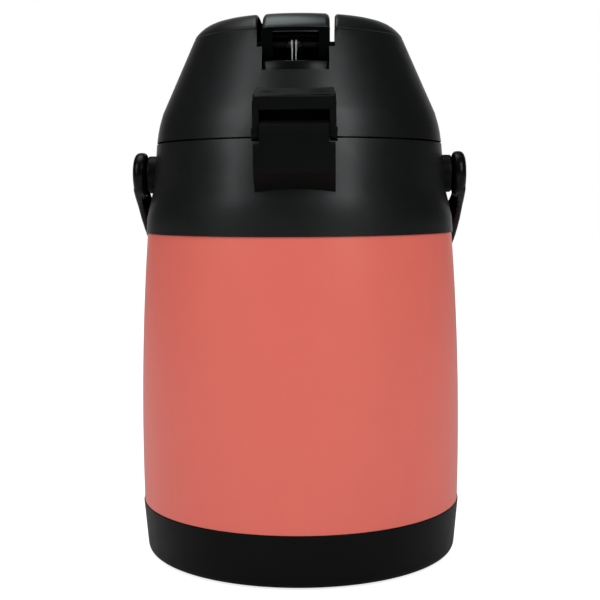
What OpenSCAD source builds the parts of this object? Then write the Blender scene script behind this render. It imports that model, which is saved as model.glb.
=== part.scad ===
// Lever-type vacuum pump pot with a bail handle, a hinged pump lid and a turntable base.
// The origin is the middle of the base on the table. +Z is up and the spout points to +Y.

/* [Body] */
// Largest outer radius of the steel body
body_r = 82.3; // [81.5:0.1:83]
// Height at which the body is widest
belly_z = 60; // [50:1:70]
// How fast the body narrows away from its belly, per mm
body_taper = 0.00037; // [0.0003:0.00001:0.0004]
// Height at which the steel body starts above the table
body_low_z = 27; // [26:0.5:28]
// Height at which the steel body ends under the collar
body_top_z = 165; // [164:0.5:166]
// Thickness of the outer steel shell
shell_wall = 1; // [0.8:0.1:1.2]
// Outer radius of the inner steel vessel
vessel_r = 73.5; // [72:0.5:74.5]
// Thickness of the inner steel vessel
vessel_wall = 0.8; // [0.6:0.1:1]
// Height of the steel mouth, where the two steel walls meet
mouth_z = 196; // [195.5:0.1:196.2]

/* [Base] */
// Outer radius of the base ring at its upper edge
base_r = 82.4; // [82.2:0.1:83.5]
// Outer radius of the turntable under the pot
turntable_r = 68; // [64:1:70]
// Radius of the rubber pad that rests on the table
pad_r = 64; // [58:1:66]

/* [Collar] */
// Height of the split line between the collar and the lid
split_z = 211; // [210.8:0.1:211.1]
// Thickness of the moulded collar
collar_wall = 2.4; // [2:0.1:2.6]

/* [Lid] */
// Radius of the crease where the lid's cone meets its domed top
dome_r = 52.6; // [52.3:0.1:52.9]
// Height of that crease
dome_z = 263.2; // [263:0.1:263.5]
// Height of the dome above the crease
dome_rise = 8.6; // [8.4:0.1:8.8]
// Thickness of the moulded lid cover
lid_wall = 2.2; // [2:0.1:2.4]

/* [Lever] */
// Half the width of the slot in the lid that the lever moves in
slot_half = 18.35; // [18.2:0.05:18.5]
// Half the width of the lever at its rear end
lever_half = 16.2; // [15.9:0.05:16.4]
// Height of the lever's pin
lever_pin_z = 254.4; // [254:0.1:254.8]
// Distance of the lever's pin behind the middle
lever_pin_y = 50; // [49.5:0.1:50.5]

/* [Handle] */
// Height of the handle's pivots
pivot_z = 194.6; // [194:0.1:195]
// Half the width across the outside of the handle
handle_half = 85.3; // [85:0.1:86]
// Reach of the handle from its pivots to the outside of its grip
handle_reach = 126; // [124:0.5:128]
// Width of the handle's strap
strap_w = 18; // [15:0.5:19]
// How far the handle hangs below level at rest, in degrees
handle_drop = 40.5; // [36:0.5:41]

/* [Hinge] */
// Distance of the lid's hinge pin behind the middle
hinge_y = 80; // [79.8:0.1:80.4]
// Height of the lid's hinge pin
hinge_z = 211.4; // [211.2:0.1:211.6]
// Half the width of the knuckle bracket on the collar
knuckle_half = 15.7; // [15:0.1:15.8]

/* [Spout] */
// Distance of the spout's tip in front of the middle
spout_tip = 107; // [104:0.5:108]
// Distance of the pouring nozzle in front of the middle
nozzle_y = 95; // [94:0.5:96]

/* [Hidden] */
$fn = 96;

// Clearances
fit = 0.05;      // running clearance of a pin in its bore
seat = 0.02;     // clearance of a fixed pin or pipe in its hole
gap = 0.3;       // clearance between faces that move past each other
far = 300;       // longer than anything here, for cuts

// Colours
coral = [0.86, 0.42, 0.38];
black = [0.10, 0.10, 0.11];
dark = [0.16, 0.16, 0.17];
steel = [0.78, 0.79, 0.80];
rubber = [0.22, 0.22, 0.22];
silicone = [0.86, 0.87, 0.86];
clear = [0.82, 0.85, 0.86];

// Steel body: outer shell
step_in = 2.9;                        // how far the shell steps in inside the base ring
shell_rings = 23;                     // steps of the shell's curved side
shell_foot_z = 11;                    // lower end of the shell, inside the base ring
skirt_r = 76;                         // shell radius under the collar
shoulder_z = 168;                     // start of the shell's shoulder
shoulder_rise = 20;                   // height of that shoulder
shoulder_end_r = 46;                  // radius where it turns up into the neck
neck_r = 43;                          // outer radius of the steel neck
neck_turn = 3;                        // height of the turn into the neck
function body_radius(z) = body_r - body_taper * pow(z - belly_z, 2);
low_r = body_radius(body_low_z) - step_in;

// Steel body: inner vessel
vessel_low_z = 18;
vessel_corner = 10;                   // rounding of the vessel's bottom edge
vessel_shoulder_z = 150;
vessel_shoulder_rise = 28;
vessel_neck_r = 40;
lip_t = 0.8;                          // thickness of the rolled lip

// Base ring and turntable
rim_low_z = 0.8;                      // lower edge of the base ring above the table
rim_round = 3.8;                      // rounding of that lower edge
rim_in_r = 72.5;                      // inner radius of the recess for the turntable
floor_z = 5.6;                        // underside of the base ring's floor
floor_t = 2;
hub_r = 8;
hub_low_z = 3.2;
pad_t = 1.6;
screw_head_r = 11.5;
screw_r = 2;

// Collar: its outline from the body line up to the split line
collar_edge_z = split_z - 0.5;
collar_top_r = 72.9;
collar_side = [
    [78.9, body_top_z], [78.7, 173], [78.2, 179.5], [76.9, 187], [74.2, 203],
    [collar_top_r, collar_edge_z]
];
deck_z = 206.5;                       // underside of the deck inside the collar
deck_t = 2;
deck_in_r = 45.5;

// Handle pivots
boss_r = 9.6;
boss_face = 78.3;                     // outer face of the pivot boss
boss_inside = 71.6;                   // inner face of the pivot boss
pin_r = 4;
pin_end = 82.6;
pin_head_r = 7;
hub_face = 78.6;                      // inner face of the handle's hub
hub_out = 85.6;                       // outer face of the handle's hub
handle_hub_r = 11.5;
strap_t = 6.5;                        // thickness of the strap at its sides
grip_t = 9;                           // thickness of the strap at the grip
strap_power = 2.5;                    // squareness of the handle's curve

// Neck ring, tubes and spout
ring_in_r = 26.5;                     // pouring and filling opening
ring_low_z = mouth_z + 2;
ring_top_z = 209.5;
tube_y = 33.5;                        // the dip tube stands in front of the middle
tube_r = 4;
tube_in_r = 3;
tube_low_z = 24;
tube_top_z = 203;
pipe_r = 4.2;
pipe_start_z = 204;                   // height of the pipe's axis above the dip tube
pipe_drop = 9.4;                      // slope of the pipe to the nozzle, in degrees
pipe_first = 5;                       // start of the pipe past the dip tube
hood_half = 17;
hood_tip_r = 12.5;
hood_low_z = 188;
hood_wall = 2;
nozzle_r = 6.5;
nozzle_in_r = 4.6;
nozzle_low_z = 183;
nozzle_top_z = 199;

// Lid: its outline from the split line up to the crease
lid_low_z = split_z + gap;
lid_skirt = [[72.8, lid_low_z], [72, 215.8], [71.2, 219.5], [69.6, 225]];
lid_side = concat(lid_skirt, [[dome_r, dome_z]]);
dome_steps = 16;
dome_power = 8;                       // how late the dome bends down towards its edge
notch_z = 253.3;                      // bottom of the wide notch at the back
window_z = 242;                       // bottom of the narrow window under it
window_half = 15.7;
front_z = 230;                        // bottom of the slot at the front
plate_z = 213.6;                      // underside of the lid's inner plate
plate_t = 2;
plate_r = 69.6;
plug_r = 24.9;
plug_wall = 2;
plug_low_z = 203;
boss_at = 62;                         // radius of the four lid screws
boss_out_r = 3.5;
lid_boss_top = 230;
lid_screw_r = 1.5;

// Well under the lever
well_half = 20.2;
well_wall = 1.6;
well_z = 245.5;                       // floor of the well under the pump head's hole
well_t = 2;
well_floor = [[-far, well_z], [30, well_z], [50, 237], [60, 232], [68, front_z], [far, front_z]];
sill_h = 0.9;
stem_r = 15.8;
stem_hole_r = 16.5;

// Lever
ear_in = 10.9;                        // inner face of the ears on the lever's pin
ear_out = 15.6;
ear_r = 4;
ear_web = 3;                          // half the width of the web above each ear
lever_pin_r = 1.5;
lever_pin_half = 19.6;
lever_front_half = 14.6;
paddle_half = 17;
paddle_tip = 77;
lever_top = 2.4;                      // thickness of the lever's top
lever_side = 2.2;                     // thickness of its sides
lever_low = [[-57, 260], [-20, 262.5], [25, 262.5], [46, 259], [50, 257]];
rib_half = 11.5;
nub_r = 4;
nub_half = 6;
nub_z = 257.7;                        // lowest line of the nub that presses the pump head
nub_top_z = dome_z + dome_rise - 1;   // where the nub ends inside the lever's top

// Lock slide on the lever
pocket_z = 268.8;                     // floor of the lock's pocket
pocket_low_z = pocket_z - lever_top;
lock_rest = [18.5, 28.5];             // the unlocked slide, from its rear to its front edge
lock_travel = 8;
pocket = [lock_rest[0] - 1.5, lock_rest[1] + lock_travel + 4.5];
pocket_half = 6.6;
lock_stem_half = 3;

// Pump
head_top_z = nub_z - gap;
head_flange_r = 27;
head_flange_z = 238;
head_flange_t = 3;
stem_top_z = 250;
button_r = 8;
bellows_r = 28;
bellows_in_r = 24;
bellows_folds = 6;
bellows_t = 1;
bellows_low_z = plate_z + plate_t;
spring_r = 12;
spring_wire = 0.7;

// Hinge
hood_arm_in = 16;                     // inner face of the hood's arms
hood_arm_out = 18.9;
lid_hood_back = hinge_y + 4;
lid_hood_side = [                     // the hood's plate from the side, as [y, z] points
    [-60, 225], [-60, 236.6], [-65.5, 233.4], [-68.5, 231.7], [-71.5, 230.8],
    [1 - lid_hood_back, 228.8], [-lid_hood_back, 227.8], [-lid_hood_back, 222.8],
    [0.6 - lid_hood_back, 222.1], [7 - lid_hood_back, 222.1]
];
lid_hood_plan = [                     // its right edge from above, as [x, y] points
    [17.8, -60], [17.8, -68], [18.7, 2 - lid_hood_back], [17.8, -lid_hood_back]
];
ear_end = 19.4;                       // outer face of the ears on the hinge pin
ear_end_r = 3.25;
hinge_pin_r = 2;
knuckle_r = 6.2;
shoulder_half = 18.5;
hinge_shoulder_z = 207.6;

// Latch
latch_y = 62.5;                       // axis of the latch's pin
latch_z = 222.5;
latch_pin_r = 1.5;
latch_half = 13.2;
latch_window = 14;
latch_arm = 10.9;
latch_leg = 7;
catch_z = 207;
latch_low_z = 215;                    // lower edge of the button
latch_spring_r = 1.1;
latch_spring_wire = 0.3;
latch_spring_z = 217.2;
latch_spring_far = latch_y - 5;       // where the spring leaves its post
latch_spring_h = 5.3;

// ---------- shared shapes ----------

// A ring or solid of revolution drawn from [radius, height] points
module turned(points) { rotate_extrude() polygon(points); }

// A prism between x = -half and x = half drawn from [y, z] points
module across(half, points) {
    translate([-half, 0, 0]) rotate([90, 0, 90]) linear_extrude(2 * half) polygon(points);
}

// A round bar along X between two x values
module bar(r, x0, x1, y, z) {
    translate([x0, y, z]) rotate([0, 90, 0]) cylinder(r = r, h = x1 - x0);
}

// A box from its low and high corners
module block(low, high) { translate(low) cube(high - low); }

// The same piece on the left and on the right
module both_sides() {
    children();
    mirror([1, 0, 0]) children();
}

// A tube along +Z
module pipe(r, r_in, z0, z1) {
    turned([[r_in, z0], [r, z0], [r, z1], [r_in, z1]]);
}

function reversed(list) = [for (i = [len(list) - 1:-1:0]) list[i]];
function inward(points, t) = [for (p = points) [p[0] - t, p[1]]];

// Dome above the crease, as [radius, height] points from the crease to the axis: round at its
// edge and almost flat on top
function dome(t) = [
    for (i = [0:dome_steps]) let (share = i == dome_steps ? 0 : cos(90 * i / dome_steps))
        [(dome_r - t) * share, dome_z - t / 2 + (dome_rise - t / 2) * (1 - pow(share, dome_power))]
];
function lid_outline(t) = concat(inward(lid_skirt, t), dome(t));

// Everything inside the lid's outer surface, or inside its inner one with t = lid_wall
module lid_volume(t) {
    turned(concat([[0, lid_low_z]], lid_outline(t)));
}

// Everything inside the collar's outer surface
module collar_volume() {
    turned(concat([[0, body_top_z]], collar_side, [[0, collar_edge_z]]));
}

// Spring wire wound along +Z: a tube swept round a helix
module coil(r, wire, z0, z1, turns, sides = 6, per_turn = 16) {
    rings = turns * per_turn;
    pts = [
        for (i = [0:rings]) let (a = 360 * i / per_turn, z = z0 + (z1 - z0) * i / rings)
            for (j = [0:sides - 1]) let (b = 360 * j / sides)
                [(r + wire * cos(b)) * cos(a), (r + wire * cos(b)) * sin(a), z + wire * sin(b)]
    ];
    walls = [
        for (i = [0:rings - 1]) for (j = [0:sides - 1]) let (k = (j + 1) % sides)
            [i * sides + j, i * sides + k, (i + 1) * sides + k, (i + 1) * sides + j]
    ];
    first = [for (j = [sides - 1:-1:0]) j];
    last = [for (j = [0:sides - 1]) rings * sides + j];
    polyhedron(pts, concat([first, last], walls));
}

// ---------- steel body ----------

// Side of the shell between the base ring and the collar, moved in by t
function shell_side(t) = [
    for (i = [0:shell_rings])
        let (z = body_low_z + (body_top_z - body_low_z) * i / shell_rings)
        [body_radius(z) - t, z]
];
function shoulder(r, rise, end_r, z0, steps = 10) = [
    for (i = [1:steps]) let (a = 90 * i / steps)
        [end_r + (r - end_r) * cos(a), z0 + rise * sin(a)]
];
shell_out = concat(
    [[low_r, shell_foot_z], [low_r, body_low_z]], shell_side(0),
    [[skirt_r, body_top_z], [skirt_r, shoulder_z]],
    shoulder(skirt_r, shoulder_rise, shoulder_end_r, shoulder_z),
    [[neck_r, shoulder_z + shoulder_rise + neck_turn], [neck_r, mouth_z]]
);
shell_in = concat(
    [[low_r - shell_wall, shell_foot_z], [low_r - shell_wall, body_low_z + shell_wall]],
    [for (p = shell_side(shell_wall)) if (p[1] > body_low_z + 2 && p[1] < body_top_z - 2) p],
    [[skirt_r - shell_wall, body_top_z - shell_wall], [skirt_r - shell_wall, shoulder_z]],
    shoulder(skirt_r - shell_wall, shoulder_rise - shell_wall, shoulder_end_r, shoulder_z),
    [[neck_r - shell_wall, shoulder_z + shoulder_rise + neck_turn], [neck_r - shell_wall, mouth_z]]
);
module outer_shell() {
    color(coral) turned(concat(shell_out, reversed(shell_in)));
}

function vessel_side(t) = concat(
    [[0, vessel_low_z + t]],
    [for (i = [0:8]) let (a = 90 * i / 8)
        [vessel_r - vessel_corner + (vessel_corner - t) * sin(a),
         vessel_low_z + vessel_corner - (vessel_corner - t) * cos(a)]],
    [[vessel_r - t, vessel_shoulder_z]],
    shoulder(vessel_r - t, vessel_shoulder_rise - t, vessel_neck_r, vessel_shoulder_z)
);
module inner_vessel() {
    neck_in = vessel_neck_r - vessel_wall;
    top = mouth_z + lip_t;
    color(steel) turned(concat(
        vessel_side(0),
        [[vessel_neck_r, mouth_z], [neck_r, mouth_z], [neck_r, top], [neck_in, top]],
        [[neck_in, vessel_shoulder_z + vessel_shoulder_rise - vessel_wall]],
        reversed(vessel_side(vessel_wall))
    ));
}

module shell_bottom() {
    color(steel) translate([0, 0, shell_foot_z]) cylinder(r = low_r - shell_wall, h = 1.2);
}

module getter_cap() {
    color(steel) translate([0, 0, shell_foot_z + 1.2]) cylinder(r = 7, h = 2);
}

// ---------- base ring and turntable ----------

module base_cup() {
    foot_r = body_radius(body_low_z) - 1.7;   // radius of the side just above the rounding
    side = [for (i = [0:8]) let (a = 90 * i / 8)
        [foot_r - rim_round + rim_round * sin(a), rim_low_z + rim_round - rim_round * cos(a)]];
    color(black) difference() {
        turned(concat(
            [[rim_in_r, rim_low_z]], side,
            [[base_r, body_low_z - 0.6], [base_r - 0.4, body_low_z]],
            [[low_r + 0.1, body_low_z], [low_r + 0.1, floor_z + floor_t], [0, floor_z + floor_t]],
            [[0, hub_low_z], [hub_r, hub_low_z], [hub_r, floor_z], [rim_in_r, floor_z]]
        ));
        translate([0, 0, hub_low_z - 1]) cylinder(r = screw_r + seat, h = 10);
    }
}

module turntable_screw() {
    color(steel) union() {
        translate([0, 0, hub_low_z - 1.2]) cylinder(r = screw_head_r, h = 1.2);
        translate([0, 0, hub_low_z - 0.1]) cylinder(r = screw_r, h = 4);
    }
}

module turntable() {
    top = floor_z - gap;
    color(dark) turned([
        [screw_head_r + 0.5, pad_t], [turntable_r - 1, pad_t], [turntable_r, pad_t + 1],
        [turntable_r, top], [hub_r + fit, top], [hub_r + fit, hub_low_z + 0.2],
        [screw_head_r + 0.5, hub_low_z + 0.2]
    ]);
}

module foot_pad() {
    color(rubber) turned([[0, 0], [pad_r - 0.5, 0], [pad_r, 0.5], [pad_r, pad_t], [0, pad_t]]);
}

// ---------- collar and neck ----------

collar_in = concat(
    [[collar_top_r - 1.3, collar_edge_z], [collar_top_r - collar_wall, collar_edge_z - 0.6]],
    [[collar_top_r - collar_wall, deck_z + deck_t], [deck_in_r, deck_z + deck_t]],
    [[deck_in_r, deck_z], [73.5 - collar_wall, deck_z]],
    reversed([for (p = collar_side) if (p[1] < deck_z) [p[0] - collar_wall, p[1]]])
);
module collar() {
    color(black) difference() {
        union() {
            turned(concat(collar_side, collar_in));
            both_sides() bar(boss_r, boss_inside, boss_face, 0, pivot_z);
        }
        both_sides() bar(pin_r + seat, boss_inside - 1, boss_face + 1, 0, pivot_z);
        both_sides() hinge_screw_hole();
        spout_axis() cylinder(r = pipe_r + seat, h = 90);
        block([-9, 58, deck_z - 1], [9, 70.4, deck_z + deck_t + 1]);
    }
}

module neck_ring() {
    color(dark) difference() {
        turned([
            [ring_in_r, ring_low_z + 1.5], [ring_in_r + 1.5, ring_low_z], [neck_r + gap, ring_low_z],
            [neck_r + gap, mouth_z - 5], [deck_in_r - 0.2, mouth_z - 5], [deck_in_r - 0.2, deck_z + 2.1],
            [deck_in_r + 2.5, deck_z + 2.1], [deck_in_r + 2.5, ring_top_z], [ring_in_r, ring_top_z]
        ]);
        translate([0, tube_y, 0]) cylinder(r = tube_r + seat, h = tube_top_z);
        translate([0, tube_y, tube_top_z - 1]) cylinder(r = tube_in_r, h = 3);
        spout_axis() cylinder(r = pipe_r + seat, h = 20);
    }
}

module mouth_seal() {
    color(silicone) pipe(42.6, 39.6, mouth_z + lip_t, ring_low_z);
}

module dip_tube() {
    color(clear) translate([0, tube_y, 0]) pipe(tube_r, tube_in_r, tube_low_z, tube_top_z);
}

module tube_seal() {
    color(silicone) translate([0, tube_y, 0]) pipe(5.4, tube_r + seat, ring_low_z - 1.8, ring_low_z);
}

// ---------- spout ----------

// The pipe's axis: +Z of the children runs from above the dip tube down to the nozzle
module spout_axis() {
    translate([0, tube_y, pipe_start_z]) rotate([-90 - pipe_drop, 0, 0]) children();
}

module spout_pipe() {
    color(clear) difference() {
        spout_axis() translate([0, 0, pipe_first]) pipe(pipe_r, tube_in_r, 0, 70);
        translate([0, nozzle_y, 150]) cylinder(r = nozzle_r + seat, h = 100);
        block([-20, nozzle_y, 150], [20, nozzle_y + 40, 250]);
    }
}

// Plan of the spout as [x, y] points, moved in by t
function hood_plan(t) = let (r = hood_tip_r - t, y0 = spout_tip - hood_tip_r) concat(
    [[-(hood_half - t), 66], [hood_half - t, 66]],
    [for (i = [0:12]) let (a = 10 + 160 * i / 12) [r * cos(a), y0 + r * sin(a)]]
);
module hood_block(t, profile) {
    intersection() {
        across(hood_half, profile);
        translate([0, 0, 150]) linear_extrude(100) polygon(hood_plan(t));
    }
}
module spout_hood() {
    tip = spout_tip;
    w = hood_wall;
    outside = [
        [66, hood_low_z], [66, 210.3], [94, 208.6], [tip - 5, 206], [tip - 1.5, 203],
        [tip, 199.5], [tip, hood_low_z + 4], [tip - 2, hood_low_z + 1.5], [84, hood_low_z]
    ];
    inside = [
        [60, hood_low_z - 5], [60, 210.3 - w], [94 - 0.4, 208.6 - w], [tip - 5.6, 206 - w],
        [tip - w - 1, 202], [tip - w, 199], [tip - w, hood_low_z - 5]
    ];
    color(black) difference() {
        hood_block(0, outside);
        hood_block(w, inside);
        collar_volume();
    }
}

module spout_plate() {
    color(black) difference() {
        hood_block(hood_wall + 0.1, [
            [66, hood_low_z + 0.6], [66, hood_low_z + 2.4], [spout_tip, hood_low_z + 2.4],
            [spout_tip, hood_low_z + 0.6]
        ]);
        collar_volume();
        translate([0, nozzle_y, 150]) cylinder(r = nozzle_r + seat, h = 100);
    }
}

module nozzle() {
    color(dark) difference() {
        translate([0, nozzle_y, 0]) turned([
            [nozzle_in_r, nozzle_low_z], [nozzle_r - 0.8, nozzle_low_z], [nozzle_r, nozzle_low_z + 3],
            [nozzle_r, nozzle_top_z], [0, nozzle_top_z], [0, nozzle_top_z - 1.5],
            [nozzle_in_r, nozzle_top_z - 1.5]
        ]);
        spout_axis() cylinder(r = tube_in_r, h = nozzle_y - tube_y);
    }
}

// ---------- hinge ----------

module hinge_screw_hole() {
    translate([9, -68, 199]) rotate([90, 0, 0]) cylinder(r = screw_r + seat, h = 14);
}

module hinge_bracket() {
    back = hinge_y + knuckle_r + 0.3;
    color(black) difference() {
        union() {
            bar(knuckle_r, -knuckle_half, knuckle_half, -hinge_y, hinge_z);
            across(knuckle_half, [
                [-back, hinge_z - 2], [-hinge_y - knuckle_r, hinge_z], [-hinge_y, hinge_z],
                [-hinge_y + knuckle_r - 0.6, hinge_z - 2], [-70, hinge_shoulder_z - 1],
                [-back, hinge_shoulder_z - 1]
            ]);
            across(shoulder_half, [
                [-back, hinge_shoulder_z - 1], [-back + 1, hinge_shoulder_z],
                [-70, hinge_shoulder_z], [-70, 181.8], [-77, 186.7], [-back + 0.3, 194], [-back, 197]
            ]);
        }
        collar_volume();
        bar(hinge_pin_r + seat, -30, 30, -hinge_y, hinge_z);
        both_sides() hinge_screw_hole();
    }
}

module hinge_pin() {
    color(steel) bar(hinge_pin_r, -ear_end, ear_end, -hinge_y, hinge_z);
}

module hinge_screws() {
    color(steel) both_sides() translate([9, 0, 199]) rotate([90, 0, 0]) union() {
        translate([0, 0, 68.6]) cylinder(r = 3.4, h = 2.2);
        translate([0, 0, 70.7]) cylinder(r = screw_r, h = 11);
    }
}

module hinge_hood() {
    y = -hinge_y;
    color(black) difference() {
        union() {
            intersection() {
                across(hood_arm_out, lid_hood_side);
                linear_extrude(far)
                    polygon(concat([for (p = lid_hood_plan) [-p[0], p[1]]], reversed(lid_hood_plan)));
            }
            both_sides() translate([hood_arm_in, 0, 0]) rotate([90, 0, 90])
                linear_extrude(hood_arm_out - hood_arm_in) polygon([
                    [y - ear_end_r, hinge_z], [y - ear_end_r, 218], [y - 4, 222],
                    [y - 4, 226], [-66, 226], [-68, 219], [y + ear_end_r, hinge_z]
                ]);
            both_sides() bar(ear_end_r, hood_arm_in, ear_end, y, hinge_z);
        }
        lid_volume(0);
        bar(hinge_pin_r + fit, -30, 30, y, hinge_z);
        block([-hood_arm_in, y - 1, 215], [hood_arm_in, -60, 226]);
        block([-hood_arm_in, y + 1.5, 215], [hood_arm_in, -60, 229]);
    }
}

// ---------- handle ----------

module handle_pins() {
    color(steel) both_sides() union() {
        bar(pin_r, boss_inside - 0.1, pin_end, 0, pivot_z);
        bar(pin_head_r, boss_inside - 2, boss_inside, 0, pivot_z);
    }
}

// Half of a squared-off oval as [x, y] points, half = half its width, reach = its length
function bail(half, reach, steps = 48) = [
    for (i = [0:steps]) let (a = 180 * i / steps, c = cos(a), s = sin(a))
        [half * sign(c) * pow(abs(c), 2 / strap_power), reach * pow(s, 2 / strap_power)]
];
module carry_handle() {
    outside = bail(handle_half, handle_reach);
    inside = bail(handle_half - strap_t, handle_reach - grip_t);
    color(black) translate([0, 0, pivot_z]) rotate([-handle_drop, 0, 0]) difference() {
        union() {
            translate([0, 0, -strap_w / 2]) linear_extrude(strap_w)
                polygon(concat(outside, reversed(inside)));
            both_sides() bar(handle_hub_r, hub_face, hub_out - 1, 0, 0);
            both_sides() bar(handle_hub_r - 1.5, hub_face, hub_out, 0, 0);
        }
        both_sides() bar(pin_r + fit, 0, pin_end + 0.4, 0, 0);
        both_sides() bar(handle_hub_r + 1, 40, hub_face, 0, 0);
    }
}

// ---------- lid ----------

module slot_cut() {
    block([-slot_half, -far, notch_z], [slot_half, 0, far]);
    block([-slot_half, -1, front_z], [slot_half, far, far]);
    block([-window_half, -far, window_z], [window_half, -30, notch_z + 1]);
}

module lever_pin_hole() {
    half = lever_pin_half + seat;
    bar(lever_pin_r + seat, -half, half, -lever_pin_y, lever_pin_z);
}

module screw_ring() {
    for (a = [45:90:315]) rotate(a) translate([boss_at, 0, 0]) children();
}

module lid_cover() {
    color(black) difference() {
        union() {
            turned(concat(lid_outline(0), reversed(lid_outline(lid_wall))));
            screw_ring() translate([0, 0, plate_z + plate_t])
                cylinder(r = boss_out_r, h = lid_boss_top - plate_z - plate_t);
        }
        slot_cut();
        block([-latch_window, 50, 213], [latch_window, far, 227.5]);
        screw_ring() cylinder(r = lid_screw_r + seat, h = 226);
        lever_pin_hole();
    }
}

module lever_well() {
    under = [for (p = well_floor) [p[0], p[1] - well_t]];
    color(dark) difference() {
        intersection() {
            across(well_half, concat(under, [[far, far], [-far, far]]));
            lid_volume(lid_wall + 0.05);
        }
        across(well_half - well_wall, concat(well_floor, [[far, far], [-far, far]]));
        cylinder(r = stem_hole_r, h = far);
        lever_pin_hole();
    }
    color(dark) intersection() {
        block([-window_half, -57.6, well_z - well_t], [window_half, -56, well_z + sill_h]);
        lid_volume(lid_wall + 0.05);
    }
}

module lid_base() {
    top = plate_z + plate_t;
    color(dark) difference() {
        union() {
            translate([0, 0, plate_z]) cylinder(r = plate_r, h = plate_t);
            pipe(plug_r, plug_r - plug_wall, plug_low_z, plate_z + 0.1);
            pipe(bellows_r + 2.4, bellows_r + 0.6, top - 0.1, top + 3);
            both_sides() block(
                [latch_arm + gap, latch_y - 2.2, top - 0.1], [13.6, latch_y + 2.2, latch_z + 2.2]
            );
            block([-2, latch_spring_far - 3, top - 0.1], [2, latch_spring_far, top + 6]);
        }
        cylinder(r = 5, h = far);
        bar(latch_pin_r + seat, -30, 30, latch_y, latch_z);
        block([-latch_leg - 1, latch_y - 2.5, 200], [latch_leg + 1, 70.2, top + 0.1]);
        block([-latch_window, 66.8, 200], [latch_window, far, top + 0.1]);
        screw_ring() cylinder(r = lid_screw_r + seat, h = 226);
    }
}

module lid_gasket() {
    color(silicone) pipe(33, 27, ring_top_z + gap, plate_z);
}

module lid_screws() {
    color(steel) screw_ring() union() {
        translate([0, 0, plate_z - 1.7]) cylinder(r = 3, h = 1.7);
        translate([0, 0, plate_z - 0.1]) cylinder(r = lid_screw_r, h = 11);
    }
}

module air_valve() {
    color(silicone) translate([0, 0, plate_z - 1.4]) cylinder(r = 9, h = 1.4);
}

module lever_pin() {
    color(steel) bar(lever_pin_r, -lever_pin_half, lever_pin_half, -lever_pin_y, lever_pin_z);
}

module lever_spring() {
    leg_y = -lever_pin_y - 3.4;
    color(steel) union() {
        difference() {
            bar(3.2, -3.6, 3.6, -lever_pin_y, lever_pin_z);
            bar(lever_pin_r + 0.4, -4, 4, -lever_pin_y, lever_pin_z);
        }
        both_sides() translate([1.1, leg_y, 247.2]) cylinder(r = 0.65, h = 9.4);
    }
}

// ---------- lever ----------

// Plan of the lever as [x, y] points
function lever_plan(t) = [
    [-lever_half + t, -58], [-lever_front_half + t, 50], [-paddle_half + t, 68],
    [-paddle_half + 3 + t, paddle_tip - 1.5], [-paddle_half + 8 + t, paddle_tip],
    [paddle_half - 8 - t, paddle_tip], [paddle_half - 3 - t, paddle_tip - 1.5],
    [paddle_half - t, 68], [lever_front_half - t, 50], [lever_half - t, -58]
];
module lever_column(t) {
    translate([0, 0, 240]) linear_extrude(40) polygon(lever_plan(t));
}
module pump_lever() {
    low = lever_low;
    color(black) difference() {
        union() {
            intersection() {
                lever_column(0);
                lid_volume(0);
                across(20, concat(low, [[60, 257], [60, far], [-57, far]]));
            }
            intersection() {
                lever_column(0);
                across(20, [
                    [38, 262], [38, 268.8], [paddle_tip - 2, 258.9], [paddle_tip, 257.2],
                    [paddle_tip - 1, 255.2], [68, 254], [60, 254], [50, 257], [46, 259]
                ]);
            }
            both_sides() bar(ear_r, ear_in, ear_out, -lever_pin_y, lever_pin_z);
            both_sides() block(
                [ear_in, -lever_pin_y - ear_web, lever_pin_z], [ear_out - 0.2, -lever_pin_y + ear_web, 262]
            );
            bar(nub_r, -nub_half, nub_half, 0, nub_z + nub_r);
            block([-nub_half, -nub_r, nub_z + nub_r], [nub_half, nub_r, nub_top_z]);
            block([-rib_half, -52, 258], [rib_half, -46, 258.7]);
            block(
                [-pocket_half - 2, pocket[0] - 2, pocket_low_z], [pocket_half + 2, pocket[1], 270.2]
            );
        }
        // hollow under the top, open below, with the nub, the rib and the pocket's floor left in
        difference() {
            intersection() {
                lever_column(lever_side);
                lid_volume(lever_top);
                across(20, [[-54, 240], [-52, 269], [37, 269], [60, 261], [60, 240]]);
            }
            bar(nub_r, -nub_half, nub_half, 0, nub_z + nub_r);
            block([-nub_half, -nub_r, nub_z + nub_r], [nub_half, nub_r, far]);
            block([-rib_half, -52, 258], [rib_half, -46, 258.7]);
            both_sides() bar(ear_r, ear_in, ear_out, -lever_pin_y, lever_pin_z);
            both_sides() block(
                [ear_in, -lever_pin_y - ear_web, lever_pin_z], [ear_out, -lever_pin_y + ear_web, far]
            );
            block([-pocket_half - 2, pocket[0] - 2, pocket_low_z], [pocket_half + 2, 60, far]);
        }
        bar(lever_pin_r + fit, -30, 30, -lever_pin_y, lever_pin_z);
        block([-pocket_half, pocket[0], pocket_z], [pocket_half, pocket[1], far]);
        block([-lock_stem_half - 0.3, pocket[0] + 3, 260], [lock_stem_half + 0.3, pocket[1] - 3, far]);
    }
}

module lock_slide() {
    y0 = lock_rest[0];
    y1 = lock_rest[1];
    z0 = pocket_z + 0.2;
    color(coral) union() {
        across(5.8, [
            [y0, z0], [y0, z0 + 1.4], [y0 + 1, z0 + 2.2], [y1 - 1, z0 + 1.8], [y1, z0 + 1], [y1, z0]
        ]);
        block([-lock_stem_half, y0 + 2.5, pocket_low_z - 1.6], [lock_stem_half, y1 - 2.5, z0 + 0.1]);
        block([-5, y0 + 1, pocket_low_z - 1.6], [5, y1 - 1, pocket_low_z - 0.2]);
    }
}

// ---------- pump ----------

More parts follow.
